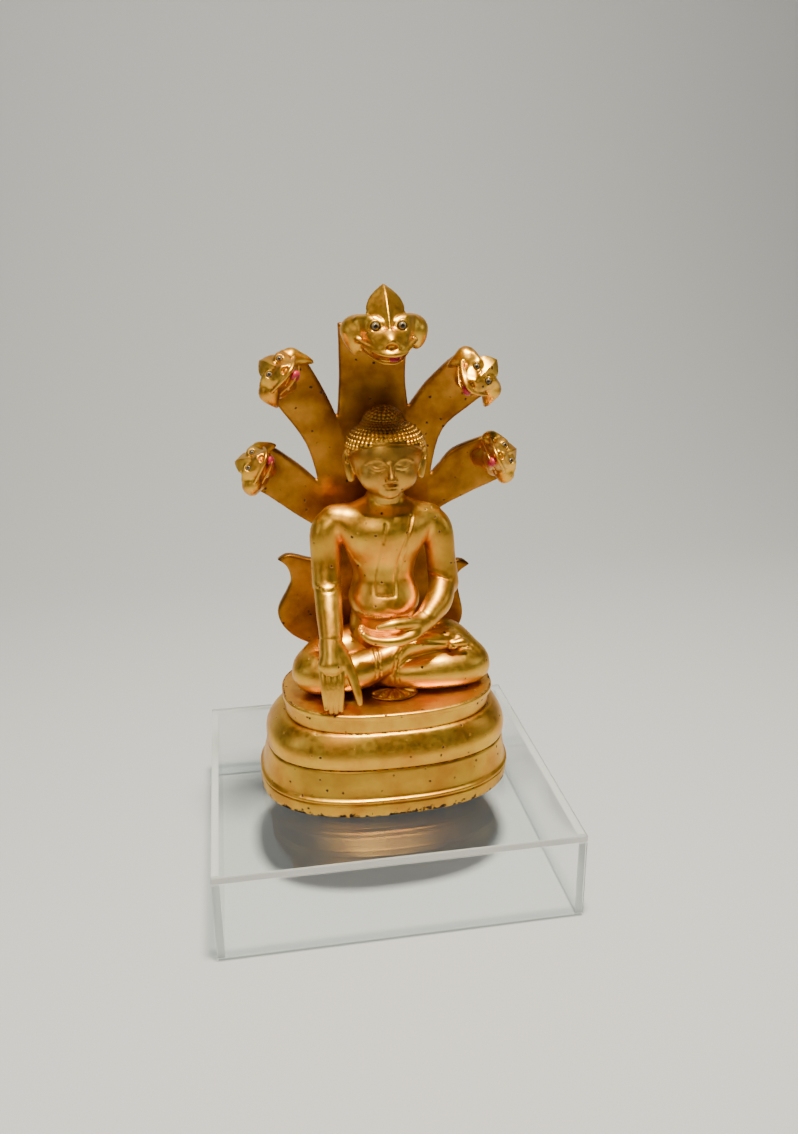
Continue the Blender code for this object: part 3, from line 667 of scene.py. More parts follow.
    def weather(self, amount, size, seed):
        """Slow unevenness of hand work: waves of some millimetres over the whole block."""
        rng = np.random.default_rng(seed)
        lattice_size = [max(2, int(n * self.grain / size) + 2) for n in self.field.shape]
        waves = rng.uniform(-amount, amount, lattice_size)
        for axis, (fine, coarse) in enumerate(zip(self.field.shape, lattice_size)):
            spot = np.linspace(0, coarse - 1.001, fine)
            step = spot.astype(int)
            share = spot - step
            share = share * share * (3 - 2 * share)
            weights = np.zeros((fine, coarse))
            weights[np.arange(fine), step] = 1 - share
            weights[np.arange(fine), np.minimum(step + 1, coarse - 1)] += share
            waves = np.moveaxis(np.tensordot(weights, waves, axes=(1, axis)), 0, axis)
        self.field += waves.astype(np.float32)

    def skin(self, name, seat=None):
        """The closed mesh of the form's surface, one point in each cell that the surface crosses."""
        field = np.pad(self.field, 1, constant_values=FAR)
        inside = field < 0
        corners = [(i, j, k) for i in (0, 1) for j in (0, 1) for k in (0, 1)]
        size = np.array(field.shape) - 1

        def corner(values, i, j, k):
            """The values at one of the eight corners of every cell."""
            return values[i : i + size[0], j : j + size[1], k : k + size[2]]

        hits = sum(corner(inside, *c).astype(np.int8) for c in corners)
        cells = np.argwhere((hits > 0) & (hits < 8))
        index = np.full(size, -1, dtype=np.int64)
        index[tuple(cells.T)] = np.arange(len(cells))
        total = np.zeros((len(cells), 3))
        crossings = np.zeros(len(cells))
        for start in corners:
            for axis in range(3):
                if start[axis]:
                    continue
                end = tuple(1 if k == axis else start[k] for k in range(3))
                fa = field[tuple((cells + start).T)]
                fb = field[tuple((cells + end).T)]
                crosses = (fa < 0) != (fb < 0)
                share = np.where(crosses, fa / np.where(crosses, fa - fb, 1), 0)
                spot = np.array(start, float) + share[:, None] * (np.array(end) - np.array(start))
                total += spot * crosses[:, None]
                crossings += crosses
        points = self.low + self.grain * (cells - 1 + total / crossings[:, None])
        quads = []
        for axis in range(3):
            others = [k for k in range(3) if k != axis]
            ahead = np.zeros(3, int)
            ahead[axis] = 1
            low_side = inside[: size[0], : size[1], : size[2]]
            high_side = corner(inside, *ahead)
            for flip in (False, True):
                starts = np.argwhere((low_side != high_side) & (low_side == flip))
                starts = starts[(starts[:, others] > 0).all(axis=1)]
                step_u, step_v = np.eye(3, dtype=int)[others]
                ring = [starts, starts - step_u, starts - step_u - step_v, starts - step_v]
                ring = [index[tuple(c.T)] for c in ring]
                if flip != (axis == 1):
                    ring = ring[::-1]
                quads.append(np.stack(ring, axis=1))
        quads = np.concatenate(quads)
        a, b = np.concatenate([quads[:, [i, (i + 1) % 4]] for i in range(4)]).T
        count = len(points)
        links = (np.bincount(a, minlength=count) + np.bincount(b, minlength=count))[:, None]
        for _ in range(POLISH_PASSES):
            sums = [
                np.bincount(a, points[b, k], minlength=count)
                + np.bincount(b, points[a, k], minlength=count)
                for k in range(3)
            ]
            points = 0.5 * points + 0.5 * np.stack(sums, axis=1) / links
        if seat is not None:
            turned = np.array(seat)
            points = points @ turned[:3, :3].T + turned[:3, 3]
        mesh = bpy.data.meshes.new(name)
        mesh.from_pydata((FIGURE_PLACE + points) * MM, [], quads.tolist())
        mesh.shade_smooth()
        mark_relief(mesh)
        return link_mesh(name, mesh)


def rounded(edge, face, rounding):
    """Distances from a flat piece with rounded edges, from those to its outline and its faces."""
    inside = np.minimum(np.maximum(edge, face) + rounding, 0)
    outside = np.hypot(np.maximum(edge + rounding, 0), np.maximum(face + rounding, 0))
    return inside + outside - rounding


def outline_distance(x, z, outline):
    """Distance from the edge of a closed (x, z) outline, negative inside it."""
    near = np.full(np.broadcast(x, z).shape, 1e9)
    inside = np.zeros(near.shape, bool)
    for (x0, z0), (x1, z1) in zip(outline, np.roll(outline, -1, axis=0)):
        dx, dz = x1 - x0, z1 - z0
        along = np.clip(((x - x0) * dx + (z - z0) * dz) / max(dx * dx + dz * dz, 1e-9), 0, 1)
        near = np.minimum(near, (x - x0 - along * dx) ** 2 + (z - z0 - along * dz) ** 2)
        spans = (z0 <= z) != (z1 <= z)
        inside ^= spans & (x < x0 + (z - z0) / (dz if dz else 1e-9) * dx)
    return np.where(inside, -1, 1) * np.sqrt(near)


legs = Carving((-100, -58, -3), (104, 48, 66), 1.0)
LEFT_LEG = [
    (20, 14, 26, 25), (40, 9, 28, 24), (54, 2, 30, 20.5), (67, -6, 21, 18.5), (74, -13, 15.5, 17),
    (62, -22, 16.5, 16.5), (42, -24, 17, 16.5), (26, -23, 16, 15.5), (10, -20, 15, 14), (-6, -14, 13, 11),
]
RIGHT_LEG = [
    (-20, 14, 25, 24), (-45, 9, 22, 22), (-62, -8, 19, 19), (-58, -17, 19, 18.5), (-45, -22, 20, 17),
    (-26, -24, 22, 16), (-8, -22, 27, 14), (8, -18, 34, 12),
]
RIGHT_FOOT = [(12, -17, 37, 11), (28, -19, 41, 10), (42, -20, 43, 9.5), (51, -21, 43.5, 8.5)]
for limb in (LEFT_LEG, RIGHT_LEG, RIGHT_FOOT):
    legs.limb(limb, soft=2.0)
for toe in range(5):
    x = 51.5 + 2.6 * toe
    y = -10 - 4.6 * toe
    z = 51.5 - 2.2 * toe
    width = 2.5 + 0.28 * toe
    legs.limb(
        [(x - 9, y - 1, z - 1.5, width), (x, y, z, width), (x + 3, y, z - 0.6, width - 0.5)], soft=0.6
    )

# Robe hems: double welts round both shins, each with a dark line in front
HEM_STEP = 3.6
HEM_LINES = [
    ([(-21, 50), (-14, 45), (-11.5, 34), (-11, 20)], 1.0, -1.5),
    ([(-23, 50), (-16, 45), (-13.3, 34), (-12.8, 20)], 0.7, 1.0),
    ([(8.5, 42), (3.5, 35), (1.2, 24), (1.5, 12)], 1.0, -1.5),
    ([(10.3, 42), (5.3, 35), (3.0, 24), (3.3, 12)], 0.7, 1.0),
]
for step in (0.0, HEM_STEP):
    for line, width, depth in HEM_LINES:
        legs.groove([(x + step, z) for x, z in line], width, depth)
SHIN_RIDGE = [(10.1, 43.2), (19.9, 44), (37, 42.3), (55.7, 39.1), (73.8, 31.7)]
FOOT_EDGE = [(10, 49.5), (22, 52.5), (38, 51.5), (51, 48.5)]
legs.groove(SHIN_RIDGE, 1.1, -0.9)
legs.groove([(x, z + 2.4) for x, z in SHIN_RIDGE], 1.0, 1.1)
legs.groove(FOOT_EDGE, 1.3, -0.9)
legs.keep_above(0.0)
legs.weather(0.35, 14, seed=3)
finish_piece(legs.skin("crossed_legs"), body_gold, "gold_leaf", "left_leg", "right_leg", "right_foot")

# Robed body and arms
# The body is one block with the legs: a full chest, a narrow waist and a round belly under a
# clinging robe. A folded shoulder cloth hangs flat down the chest from the left shoulder.
TORSO_RINGS = [
    (28, 20, -2.0, 0, 12), (29, 22, 40, 0, 10), (27.5, 24, 63, 0, 4), (27.5, 28, 70, 0, -1.5),
    (29.5, 29, 75, 0, -2.5), (30.0, 27.5, 82, 0, -2), (27.6, 26, 90, 0.3, 0.5), (25.6, 24.6, 98, 0.5, 2),
    (26.2, 24.2, 105, 0.5, 2.4), (28.8, 24.2, 114, 0.5, 2.6), (34.5, 25.5, 130, 1, 2),
    (38, 25.5, 143, 1, 2), (34, 22, 154, 1, 3), (25, 17, 161, 2, 4), (17, 14.5, 166, 3, 3),
    (14.5, 13.5, 172, 3, 1),
]
body = Carving((-66, -48, -3), (70, 36, 173), 0.9)
body.column(TORSO_RINGS, 2.15, soft=2.0)
body.ball((-32, 3, 148), (15, 14, 13), soft=8.0)
body.ball((34, 3, 145), (15, 14, 13), soft=8.0)
body.ball((1, -6, 136), (31, 16.5, 20), soft=10.0)
body.limb([(-40, 3, 148, 12.5), (-47, 2, 138, 13.3), (-48, 0, 116, 12.5), (-48.7, -6, 96, 12.3)], soft=2.5)
body.limb([(-48.7, -5, 98, 11.2), (-49, -24, 77, 10.9), (-49.5, -38, 61, 9.6)], soft=0.8)
body.limb([(41, 3, 144, 12.5), (47, 2, 134, 13.3), (50, 0, 110, 12.5), (52, -2, 88, 13.0)], soft=2.5)
body.limb([(51, -4, 90, 11.5), (44, -20, 79, 11.3), (31, -36, 71, 9.3)], soft=1.5)

# Welts (a depth under 0) and engraved lines: (x, z) points, width and depth
ROBE_LINES = [
    # The folded cloth: its swell, its two edges with a line beside each, and its lower end
    ([(7, 150), (4, 130), (0, 110), (-1.5, 93)], 8.0, -1.2),
    ([(-4.2, 134), (-5, 122), (-8.3, 105), (-8.9, 90)], 1.3, -0.6),
    ([(-5.6, 134), (-6.6, 122), (-9.9, 105), (-10.6, 90)], 1.0, 0.9),
    ([(22, 153), (17, 139), (11.5, 122), (7, 104), (5.8, 89)], 1.0, 2.4),
    ([(24.5, 153), (19.5, 139), (14, 122), (9.5, 104), (8.3, 89)], 1.2, -0.8),
    ([(-8.5, 88.3), (-1, 87.6), (6, 87.8)], 1.2, 0.9),
    # The robe's edge on the right flank, and the folds at the right and left elbow
    ([(-30.5, 126), (-27, 119), (-22, 112)], 1.3, -1.2),
    ([(-57.5, 97.5), (-48, 96.5), (-39.5, 98)], 1.2, -1.1),
    ([(-57.5, 95), (-48, 94), (-39.5, 95.5)], 0.8, 0.9),
    ([(35, 96.5), (42, 100.5), (52, 98)], 1.3, -1.2),
    ([(35, 94), (42, 98), (52, 95.5)], 0.8, 0.9),
    # A crack in the lacquer below the throat
    ([(-0.7, 149.5), (-1.0, 146), (-2.2, 142), (-2.9, 134)], 0.6, 1.7),
]
for line, width, depth in ROBE_LINES:
    body.groove(line, width, depth)
body.weather(0.35, 16, seed=5)
finish_piece(body.skin("robed_body"), body_gold, "gold_leaf", "torso", "right_arm", "left_arm")

# Hands
# The right hand hangs over the shin, palm inwards, and touches the seat. The left hand lies
# palm up in the lap. Fingers are carved side by side, with shallow cuts between them.
right_hand = Carving((-70, -70, -1), (-16, -28, 68), 0.6)
right_hand.limb([(-49.5, -36.5, 62, 9.3), (-50.3, -43, 52, 9.8), (-51, -49, 42, 9.4)], soft=2.0)
right_hand.ball((-51, -50.5, 41.5), (11.0, 6.5, 8.5), (-28, 0, 0), soft=3.0)
FINGER_TIPS = [6.3, 3.3, 2.8, 4.2]
for finger, tip in enumerate(FINGER_TIPS):
    x = -59 + 5.15 * finger
    drift = 0.45 * (1.5 - finger)
    right_hand.limb(
        [(x, -50.5, 41, 2.8), (x + drift, -56.6, 28, 3.1), (x + 2 * drift, -58.6, 15, 2.7),
         (x + 2.4 * drift, -58.2, tip, 2.1)],
        soft=0.35,
    )
right_hand.limb(
    [(-44, -44.5, 53, 5.6), (-39, -49.5, 43, 5.2), (-34.8, -54.5, 31, 4.4), (-31.4, -58.6, 18, 3.6),
     (-30, -60.4, 10.5, 2.6)],
    soft=2.5,
)
right_hand.keep_above(0.2)
right_hand.weather(0.15, 8, seed=7)
finish_piece(right_hand.skin("right_hand_carved"), body_gold, "gold_leaf", "right_hand")

left_hand = Carving((-36, -66, 44), (44, -24, 86), 0.6)
left_hand.limb([(33, -34, 71.5, 9), (22, -41, 67, 8.8), (12, -45, 62, 7.0)], soft=2.0)
left_hand.ball((3, -47, 61), (21, 10.5, 5.5), (8, -6, 0), soft=3.0)
for finger in range(4):
    y = -54.5 + 4.1 * finger
    lift = 0.4 * finger
    end = -26.5 + 1.2 * abs(finger - 1.5)
    left_hand.limb(
        [(16, y + 5, 61.5 + lift, 4.8), (4, y, 60 + lift, 4.4), (-9, y - 0.5, 60.5 + lift, 4.0),
         (-19.5, y + 0.5, 63 + lift, 3.5), (end, y + 2, 67 + lift, 2.6)],
        soft=0.5,
    )
left_hand.limb(
    [(25, -42, 70, 5.4), (12, -48.5, 72.5, 4.9), (-1, -52, 73.5, 4.2), (-12, -52, 72, 2.8)], soft=1.5
)
left_hand.weather(0.15, 8, seed=8)
finish_piece(left_hand.skin("left_hand_carved"), body_gold, "gold_leaf", "left_hand")

# Robe fan
# The robe's end is spread on the seat in front of the shins, as a flat fan of six pleats.
fan = Carving((-24, -49, -1), (28, -18, 9), 0.6)
FAN_EDGE = [
    (-18, -27), (-16, -35), (-8, -41), (4, -43), (14, -41), (22, -35), (23, -28), (4, -22), (-18, -27)
]
FIRST_FOLD, FOLD_STEP = -158.0, 27.0
fan.plate(smooth_path(FAN_EDGE, 5), 0.1, 1.8, 0.7)
for fold in range(6):
    angle = math.radians(FIRST_FOLD + FOLD_STEP * fold)
    side, front = math.cos(angle), math.sin(angle)
    fan.limb(
        [(3.5 + 4 * side, -24 + 4 * front, 2.6, 1.3), (3.5 + 12 * side, -24 + 10 * front, 2.1, 2.3),
         (3.5 + 18.5 * side, -24 + 15 * front, 1.3, 2.9)],
        soft=0.4,
    )
fan.weather(0.15, 6, seed=9)
finish_piece(fan.skin("robe_fan"), body_gold, "gold_leaf", "robe_hem")

# Head
# The head was carved with the body. The face is calm, with lowered lids and a slight smile,
# and the ears hang long. The gold on the face is given a softer, browner tone than the body's.
HEAD_X = 3.0
head = Carving((-36, -44, 163), (42, 32, 226), 0.7)
head.ball((HEAD_X, -3, 204), (29.5, 27, 29), soft=2.0)
head.ball((HEAD_X, -11, 190), (22.5, 19, 18.5), soft=6.0)
head.ball((HEAD_X, -21.5, 177), (8.0, 8.0, 6.5), soft=5.0)
head.limb([(HEAD_X, 1, 164, 14.5), (HEAD_X, -1, 182, 13.5)], soft=5.0)
head.limb([(HEAD_X, -29.2, 201, 1.6), (HEAD_X, -31.8, 194, 2.2), (HEAD_X, -34.0, 189.3, 2.9)], soft=2.5)
for side in (-1, 1):
    head.ball((HEAD_X + 12.5 * side, -18.5, 188), (9.5, 8, 9.5), soft=6.0)
    head.ball((HEAD_X + 3.5 * side, -32.6, 188.2), (2.2, 2.4, 1.9), soft=1.2)
    head.ball((HEAD_X + 10.2 * side, -24.5, 197), (6.4, 4.6, 4.0), soft=1.6)
    head.scoop((HEAD_X + 1.9 * side, -35.4, 186.8), (1.0, 1.2, 0.7), soft=0.4)
    brow = [(2.2, 200.5), (7, 204), (13, 204.3), (19, 200.5)]
    head.groove([(HEAD_X + x * side, z) for x, z in brow], 0.75, -0.85)
    lid = [(HEAD_X + x * side, z) for x, z in ((4.8, 196.4), (10, 194.9), (16, 197.2))]
    head.groove(lid, 0.55, 0.8)
    head.groove([(x, z + 3.6) for x, z in lid], 0.6, 0.5)
    # Ear: a shell with a long lobe
    ear = [(29, -3, 210, 3.6), (31, -1, 201, 4.2), (30, -3, 192, 3.8), (28.5, -4, 184.5, 3.2)]
    head.limb([(HEAD_X + x * side, y, z, radius) for x, y, z, radius in ear], soft=2.0)
    head.scoop((HEAD_X + 32 * side, -5.5, 203), (2.0, 2.6, 5.5), soft=0.8)
head.ball((HEAD_X, -28.2, 182.3), (6.4, 2.8, 1.5), soft=1.8)
head.ball((HEAD_X, -27.6, 179.4), (5.0, 2.9, 1.9), soft=1.8)
mouth = [(-7.6, 182.8), (-3, 180.9), (0, 181.2), (3, 180.9), (7.6, 182.8)]
head.groove([(HEAD_X + x, z) for x, z in mouth], 0.5, 0.55)
head.keep_below(222.0)
head.weather(0.12, 9, seed=11)
finish_piece(head.skin("carved_head"), face_gold, "gold_leaf", "head")

# Hair
# A cap of small snail curls of lacquer putty, pressed from a mould and stuck on in rows over
# the skull and the dome above it. The rows over the brow keep the brightest gold; the ground and the higher
# curls take a darker gold, partly rubbed and partly painted shade.
hair = Carving((-36, -38, 176), (42, 40, 246), 1.0)
hair.ball((HEAD_X, -1, 211), (32, 29.5, 20), soft=2.0)
hair.ball((HEAD_X, 5, 226), (17, 16, 14.5), soft=4.0)
hair.ball((HEAD_X, 8, 202), (29, 22, 24), soft=4.0)
HAIRLINE = (-30.0, 216.5, -0.55)  # a place in y, the height there, and the rise with y
hair.keep_over(HAIRLINE)
# The ground between the curls takes the darker gold: rubbed leaf, and painted shade in the gaps.
hair_cap = hair.skin("hair_ground")
finish_piece(hair_cap, shaded_rubbed_gold, "gold_leaf_dark", "hair_cap")

CURL_WIDTH = 4.1
CURL_PITCH = 4.3
CURL_ROWS = 20
FIRST_ROW, ROW_STEP = 3.0, 6.6  # degrees from the top of the head
DOME_ROWS = 5
DOME_REACH, SKULL_REACH = 30, 36
LOWEST_CURL = 2.2  # a curl's middle stands this far over the hairline, or more
# The curls above this height take the darker gold, which is partly painted shade.
FRONT_ROWS = 11.0  # the height over the hairline up to which the curls keep bright gold
bright_curls, worn_shaded_curls = [], []
core = Vector((FIGURE_PLACE + (HEAD_X, 3, 212)) * MM)
hair_skin = BVHTree.FromPolygons(
    [v.co for v in hair_cap.data.vertices], [p.vertices for p in hair_cap.data.polygons]
)


def plant_curl(polar, turn):
    """Finds where a line from the skull's core leaves the hair, and keeps it if above the hairline."""
    level = math.sin(polar)
    direction = Vector((level * math.cos(turn), level * math.sin(turn), math.cos(polar)))
    spot, normal, _, _ = hair_skin.ray_cast(core + direction * 120 * MM, -direction)
    if spot is None:
        return
    _, y, z = np.array(spot) / MM - FIGURE_PLACE
    height = z - (HAIRLINE[1] + HAIRLINE[2] * (y - HAIRLINE[0]))
    if height < LOWEST_CURL:
        return
    # Curls off the front rows take the darker gold, partly rubbed and partly painted shade under the naga
    # head.
    rows = bright_curls if height < FRONT_ROWS and y < 4 else worn_shaded_curls
    rows.append((spot, normal, 1.0))


for row in range(CURL_ROWS):
    polar = math.radians(FIRST_ROW + ROW_STEP * row)
    reach = DOME_REACH if row < DOME_ROWS else SKULL_REACH
    count = max(1, round(2 * math.pi * reach * math.sin(polar) / CURL_PITCH))
    for step in range(count):
        plant_curl(polar, 2 * math.pi * (step + 0.5 * (row % 2)) / count)


def snail_curl_mesh():
    """One curl a unit wide: a low dome with a spiral furrow that winds in to its peak."""
    points, faces = [(0.0, 0.0, 0.84)], []
    rings, sides = 4, 11
    for ring in range(1, rings + 1):
        share = ring / rings
        for side in range(sides):
            angle = 2 * math.pi * side / sides
            wave = 0.08 * math.cos(2 * math.pi * (1.25 * share) - angle)
            height = 0.82 * math.sqrt(max(0.0, 1 - share**2)) + wave * (1 - share**3)
            points.append((0.5 * share * math.cos(angle), 0.5 * share * math.sin(angle), height))
    points += [(x, y, -0.2) for x, y, _ in points[-sides:]]
    for side in range(sides):
        after = (side + 1) % sides
        faces.append((0, 1 + side, 1 + after))
        for ring in range(rings):
            a, b = 1 + ring * sides, 1 + (ring + 1) * sides
            faces.append((a + side, b + side, b + after, a + after))
    faces.append([1 + rings * sides + side for side in reversed(range(sides))])
    mesh = bpy.data.meshes.new("snail_curl")
    mesh.from_pydata(points, [], faces)
    mesh.shade_smooth()
    return mesh


def scatter_tree(name, unit_mesh, material):
    """Geometry Nodes that stand a copy of one small form on each point, along its normal."""
    tree = bpy.data.node_groups.new(name, "GeometryNodeTree")
    tree.interface.new_socket("Geometry", in_out="INPUT", socket_type="NodeSocketGeometry")
    sizes = tree.interface.new_socket("Size", in_out="INPUT", socket_type="NodeSocketFloat")
    spin = tree.interface.new_socket("Spin", in_out="INPUT", socket_type="NodeSocketFloat")
    seed = tree.interface.new_socket("Seed", in_out="INPUT", socket_type="NodeSocketInt")
    tree.interface.new_socket("Geometry", in_out="OUTPUT", socket_type="NodeSocketGeometry")
    given = add(tree, "NodeGroupInput").outputs
    unit = bpy.data.objects.new(name + "_unit", unit_mesh)
    unit_info = add(tree, "GeometryNodeObjectInfo", {"Object": unit})
    way = add(tree, "GeometryNodeInputNamedAttribute", {"Name": "way"}, data_type="FLOAT_VECTOR")
    scale = add(tree, "GeometryNodeInputNamedAttribute", {"Name": "scale"}, data_type="FLOAT")
    upright = add(
        tree, "FunctionNodeAlignRotationToVector", {"Vector": way.outputs["Attribute"]}, axis="Z"
    )
    turn = add(tree, "FunctionNodeRandomValue", {"Seed": given["Seed"]}, data_type="FLOAT")
    turn_low = add(tree, "ShaderNodeMath", {0: given["Spin"], 1: -1.0}, operation="MULTIPLY")
    tree.links.new(turn_low.outputs[0], turn.inputs[2])
    tree.links.new(given["Spin"], turn.inputs[3])
    axis_turn = add(tree, "FunctionNodeAxisAngleToRotation", {"Angle": turn.outputs[1]})
    rotated = add(
        tree, "FunctionNodeRotateRotation",
        {"Rotation": upright.outputs[0], "Rotate By": axis_turn.outputs[0]}, rotation_space="LOCAL",
    )
    whole = add(
        tree, "ShaderNodeMath", {0: given["Size"], 1: scale.outputs["Attribute"]}, operation="MULTIPLY"
    )
    copies = add(
        tree, "GeometryNodeInstanceOnPoints",
        {"Points": given["Geometry"], "Instance": unit_info.outputs["Geometry"],
         "Rotation": rotated.outputs[0], "Scale": whole.outputs[0]},
    )
    real = add(tree, "GeometryNodeRealizeInstances", {"Geometry": copies.outputs[0]})
    shaded = add(tree, "GeometryNodeSetMaterial", {"Geometry": real.outputs[0], "Material": material})
    add(tree, "NodeGroupOutput", {"Geometry": shaded.outputs[0]})
    return tree, {"Size": sizes.identifier, "Spin": spin.identifier, "Seed": seed.identifier}


def scatter(name, spots, unit_mesh, material, settings):
    """Stands copies of the unit on (place, normal, size) spots, and keeps them as a plain mesh."""
    tree, sockets = scatter_tree(name, unit_mesh, material)
    places, normals, sizes = zip(*spots)
    mesh = bpy.data.meshes.new(name + "_points")
    mesh.from_pydata([tuple(place) for place in places], [], [])
    ways = mesh.attributes.new("way", "FLOAT_VECTOR", "POINT")
    ways.data.foreach_set("vector", np.array(normals, np.float32).ravel())
    scales = mesh.attributes.new("scale", "FLOAT", "POINT")
    scales.data.foreach_set("value", np.array(sizes, np.float32))
    seeds = link_mesh(name + "_points", mesh)
    modifier = seeds.modifiers.new("scatter", "NODES")
    modifier.node_group = tree
    for key, value in settings.items():
        modifier[sockets[key]] = value
    graph = bpy.context.evaluated_depsgraph_get()
    made = bpy.data.meshes.new_from_object(seeds.evaluated_get(graph))
    seeds.modifiers.remove(modifier)
    bpy.data.objects.remove(seeds)
    made.name = name
    obj = link_mesh(name, made)
    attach(obj, "root")
    return obj


curl = snail_curl_mesh()
CURL_SETTINGS = {"Size": CURL_WIDTH * MM, "Spin": math.pi, "Seed": 4}
scatter("front_curls", bright_curls, curl, body_gold, CURL_SETTINGS)
scatter("dome_curls", worn_shaded_curls, curl, shaded_rubbed_gold, CURL_SETTINGS)

# Putty crumbs
# Crumbs of lacquer putty were left along the ridges of the legs and under the belly, where the
# modelled layer was trimmed. They were gilded over; those under the belly take the darker gold, partly
# rubbed and partly painted shade.
crumb_random = np.random.default_rng(12)
CRUMB_WIDTH = 1.3
CRUMB_WAY = (0, -0.8, 0.6)


def crumb_mesh():
    """One crumb a unit wide: a pebble with uneven corners."""
    pebble = bmesh.new()
    bmesh.ops.create_icosphere(pebble, subdivisions=1, radius=0.5)
    for vert in pebble.verts:
        vert.co *= 1 + 0.3 * noise.noise(vert.co * 3)
    mesh = bpy.data.meshes.new("crumb")
    pebble.to_mesh(mesh)
    pebble.free()
    mesh.shade_smooth()
    return mesh


def crumbs_along(carving, line, spacing, spread):
    """Crumb spots strewn along an (x, z) line on the front of a carving."""
    path = smooth_path(line, 20)
    length = np.linalg.norm(np.diff(path, axis=0), axis=1).sum()
    spots = []
    for _ in range(int(length / spacing)):
        x, z = path[crumb_random.integers(len(path))] + crumb_random.normal(0, spread, 2)
        y = carving.front(x, z)
        if y is not None:
            place = (FIGURE_PLACE + (x, y + 0.1, z)) * MM
            spots.append((place, CRUMB_WAY, crumb_random.uniform(0.6, 1.3)))
    return spots


gilded_crumbs = crumbs_along(legs, SHIN_RIDGE, 1.0, 0.35)
gilded_crumbs += crumbs_along(legs, [(-34, 36), (-27, 40), (-21, 42)], 0.7, 0.8)
# Under the belly the crumbs take the darker gold, partly painted shade.
bare_crumbs = crumbs_along(body, [(-23, 74.5), (-12, 72.5), (2, 72), (14, 74)], 0.45, 1.1)
crumb = crumb_mesh()
CRUMB_SETTINGS = {"Size": CRUMB_WIDTH * MM, "Spin": math.pi, "Seed": 6}
scatter("gilded_crumbs", gilded_crumbs, crumb, body_gold, CRUMB_SETTINGS)
scatter("bare_crumbs", bare_crumbs, crumb, shaded_rubbed_gold, CRUMB_SETTINGS)

# Back plank and necks
# Flat boards behind the figure, carved with the block: two leaf-shaped wings low down, and
# five necks that fan out from the shoulders and bend forward. Their gold is darker: partly aged, and partly
# painted shade.
# An outline's marks are x, z and 1 at a corner or 0 on a curve.
LEFT_WING = [
    (36, 0.0, 1), (42, 16, 0), (62, 22, 0), (80, 34, 0), (89, 54, 0), (80, 74, 0), (76, 84, 0), (79, 96, 0),
    (87, 104, 1), (76, 108, 0), (52, 102, 0), (44, 118, 0), (47, 128, 1), (47, 168, 1),
]
RIGHT_WING = [
    (36, 0.0, 1), (42, 14, 0), (60, 17, 0), (74, 27, 0), (79, 42, 0), (75, 62, 0), (72, 74, 0), (76, 82, 0),
    (85, 88, 1), (76, 93, 0), (54, 92, 0), (44, 116, 0), (47, 128, 1), (47, 168, 1),
]
NECKS = {
    "neck_central": [
        (-16, 166, 1), (16, 166, 1), (29.5, 229.5, 1), (26.5, 262, 0), (29, 303, 1), (-29, 304, 1),
        (-28.5, 262, 0), (-31.0, 222.7, 1),
    ],
    "neck_upper_left": [
        (-47, 166, 1), (-13, 166, 1), (-29, 222.7, 1), (-38, 243, 0), (-51.3, 268.2, 0), (-60, 281, 1),
        (-89, 253, 1), (-78.8, 237.4, 0), (-57.6, 204.7, 0),
    ],
    "neck_upper_right": [
        (47, 166, 1), (58.7, 211.4, 0), (85.5, 234.9, 0), (96, 242, 1), (78, 281, 1), (68.6, 275.7, 0),
        (46.4, 255.3, 0), (27, 229.5, 1), (13, 166, 1),
    ],
    "neck_lower_left": [
        (-45, 128, 1), (-45, 168, 1), (-60, 183, 0), (-83, 201.7, 0), (-95, 205, 1), (-108, 172, 1),
        (-95.9, 164.7, 0), (-75, 148, 0), (-57.7, 135.3, 0),
    ],
    "neck_lower_right": [
        (45, 133, 1), (63.4, 145.3, 0), (87.6, 156.9, 0), (111, 167.2, 0), (119, 172, 1), (110, 206, 1),
        (102, 206.7, 0), (70, 195.2, 0), (56, 181, 0), (45, 168, 1),
    ],
}
PLANK_MIDDLE = 43.0
PLANK_HALF = 4.4
EDGE_ROUNDING = 1.6
HUB_HEIGHT, HUB_RADIUS = 150.0, 50.0  # the boards are flat about this hub between the shoulders
BEND = 0.0012  # and bend forward outside it, in mm for each mm of reach squared


def board_middle(x, z):
    """Where the boards' middle plane lies: it bends forward with the distance from the shoulders."""
    reach = np.maximum(0, np.hypot(x, np.maximum(0, z - HUB_HEIGHT)) - HUB_RADIUS)
    return PLANK_MIDDLE - BEND * reach * reach


def drawn_outline(marks):
    """Curves through the marks, broken at the corners."""
    first = next(i for i, mark in enumerate(marks) if mark[2])
    marks = marks[first:] + marks[:first] + [marks[first]]
    points, run = [], [marks[0][:2]]
    for mark in marks[1:]:
        run.append(mark[:2])
        if mark[2]:
            points += smooth_path(run, 5)[:-1].tolist()
            run = [mark[:2]]
    return points


boards = Carving((-114, 8, -2), (125, 50, 308), 1.2)
mirrored_wing = [(-x, z, corner) for x, z, corner in reversed(LEFT_WING)]
boards.slab(drawn_outline(mirrored_wing + RIGHT_WING), board_middle, PLANK_HALF, EDGE_ROUNDING, 1.0)
for marks in NECKS.values():
    boards.slab(drawn_outline(marks), board_middle, PLANK_HALF, EDGE_ROUNDING, 1.5)
boards.weather(0.5, 18, seed=20)
finish_piece(boards.skin("back_boards"), shaded_board_gold, "gold_leaf_dark", "back_plank", *NECKS)

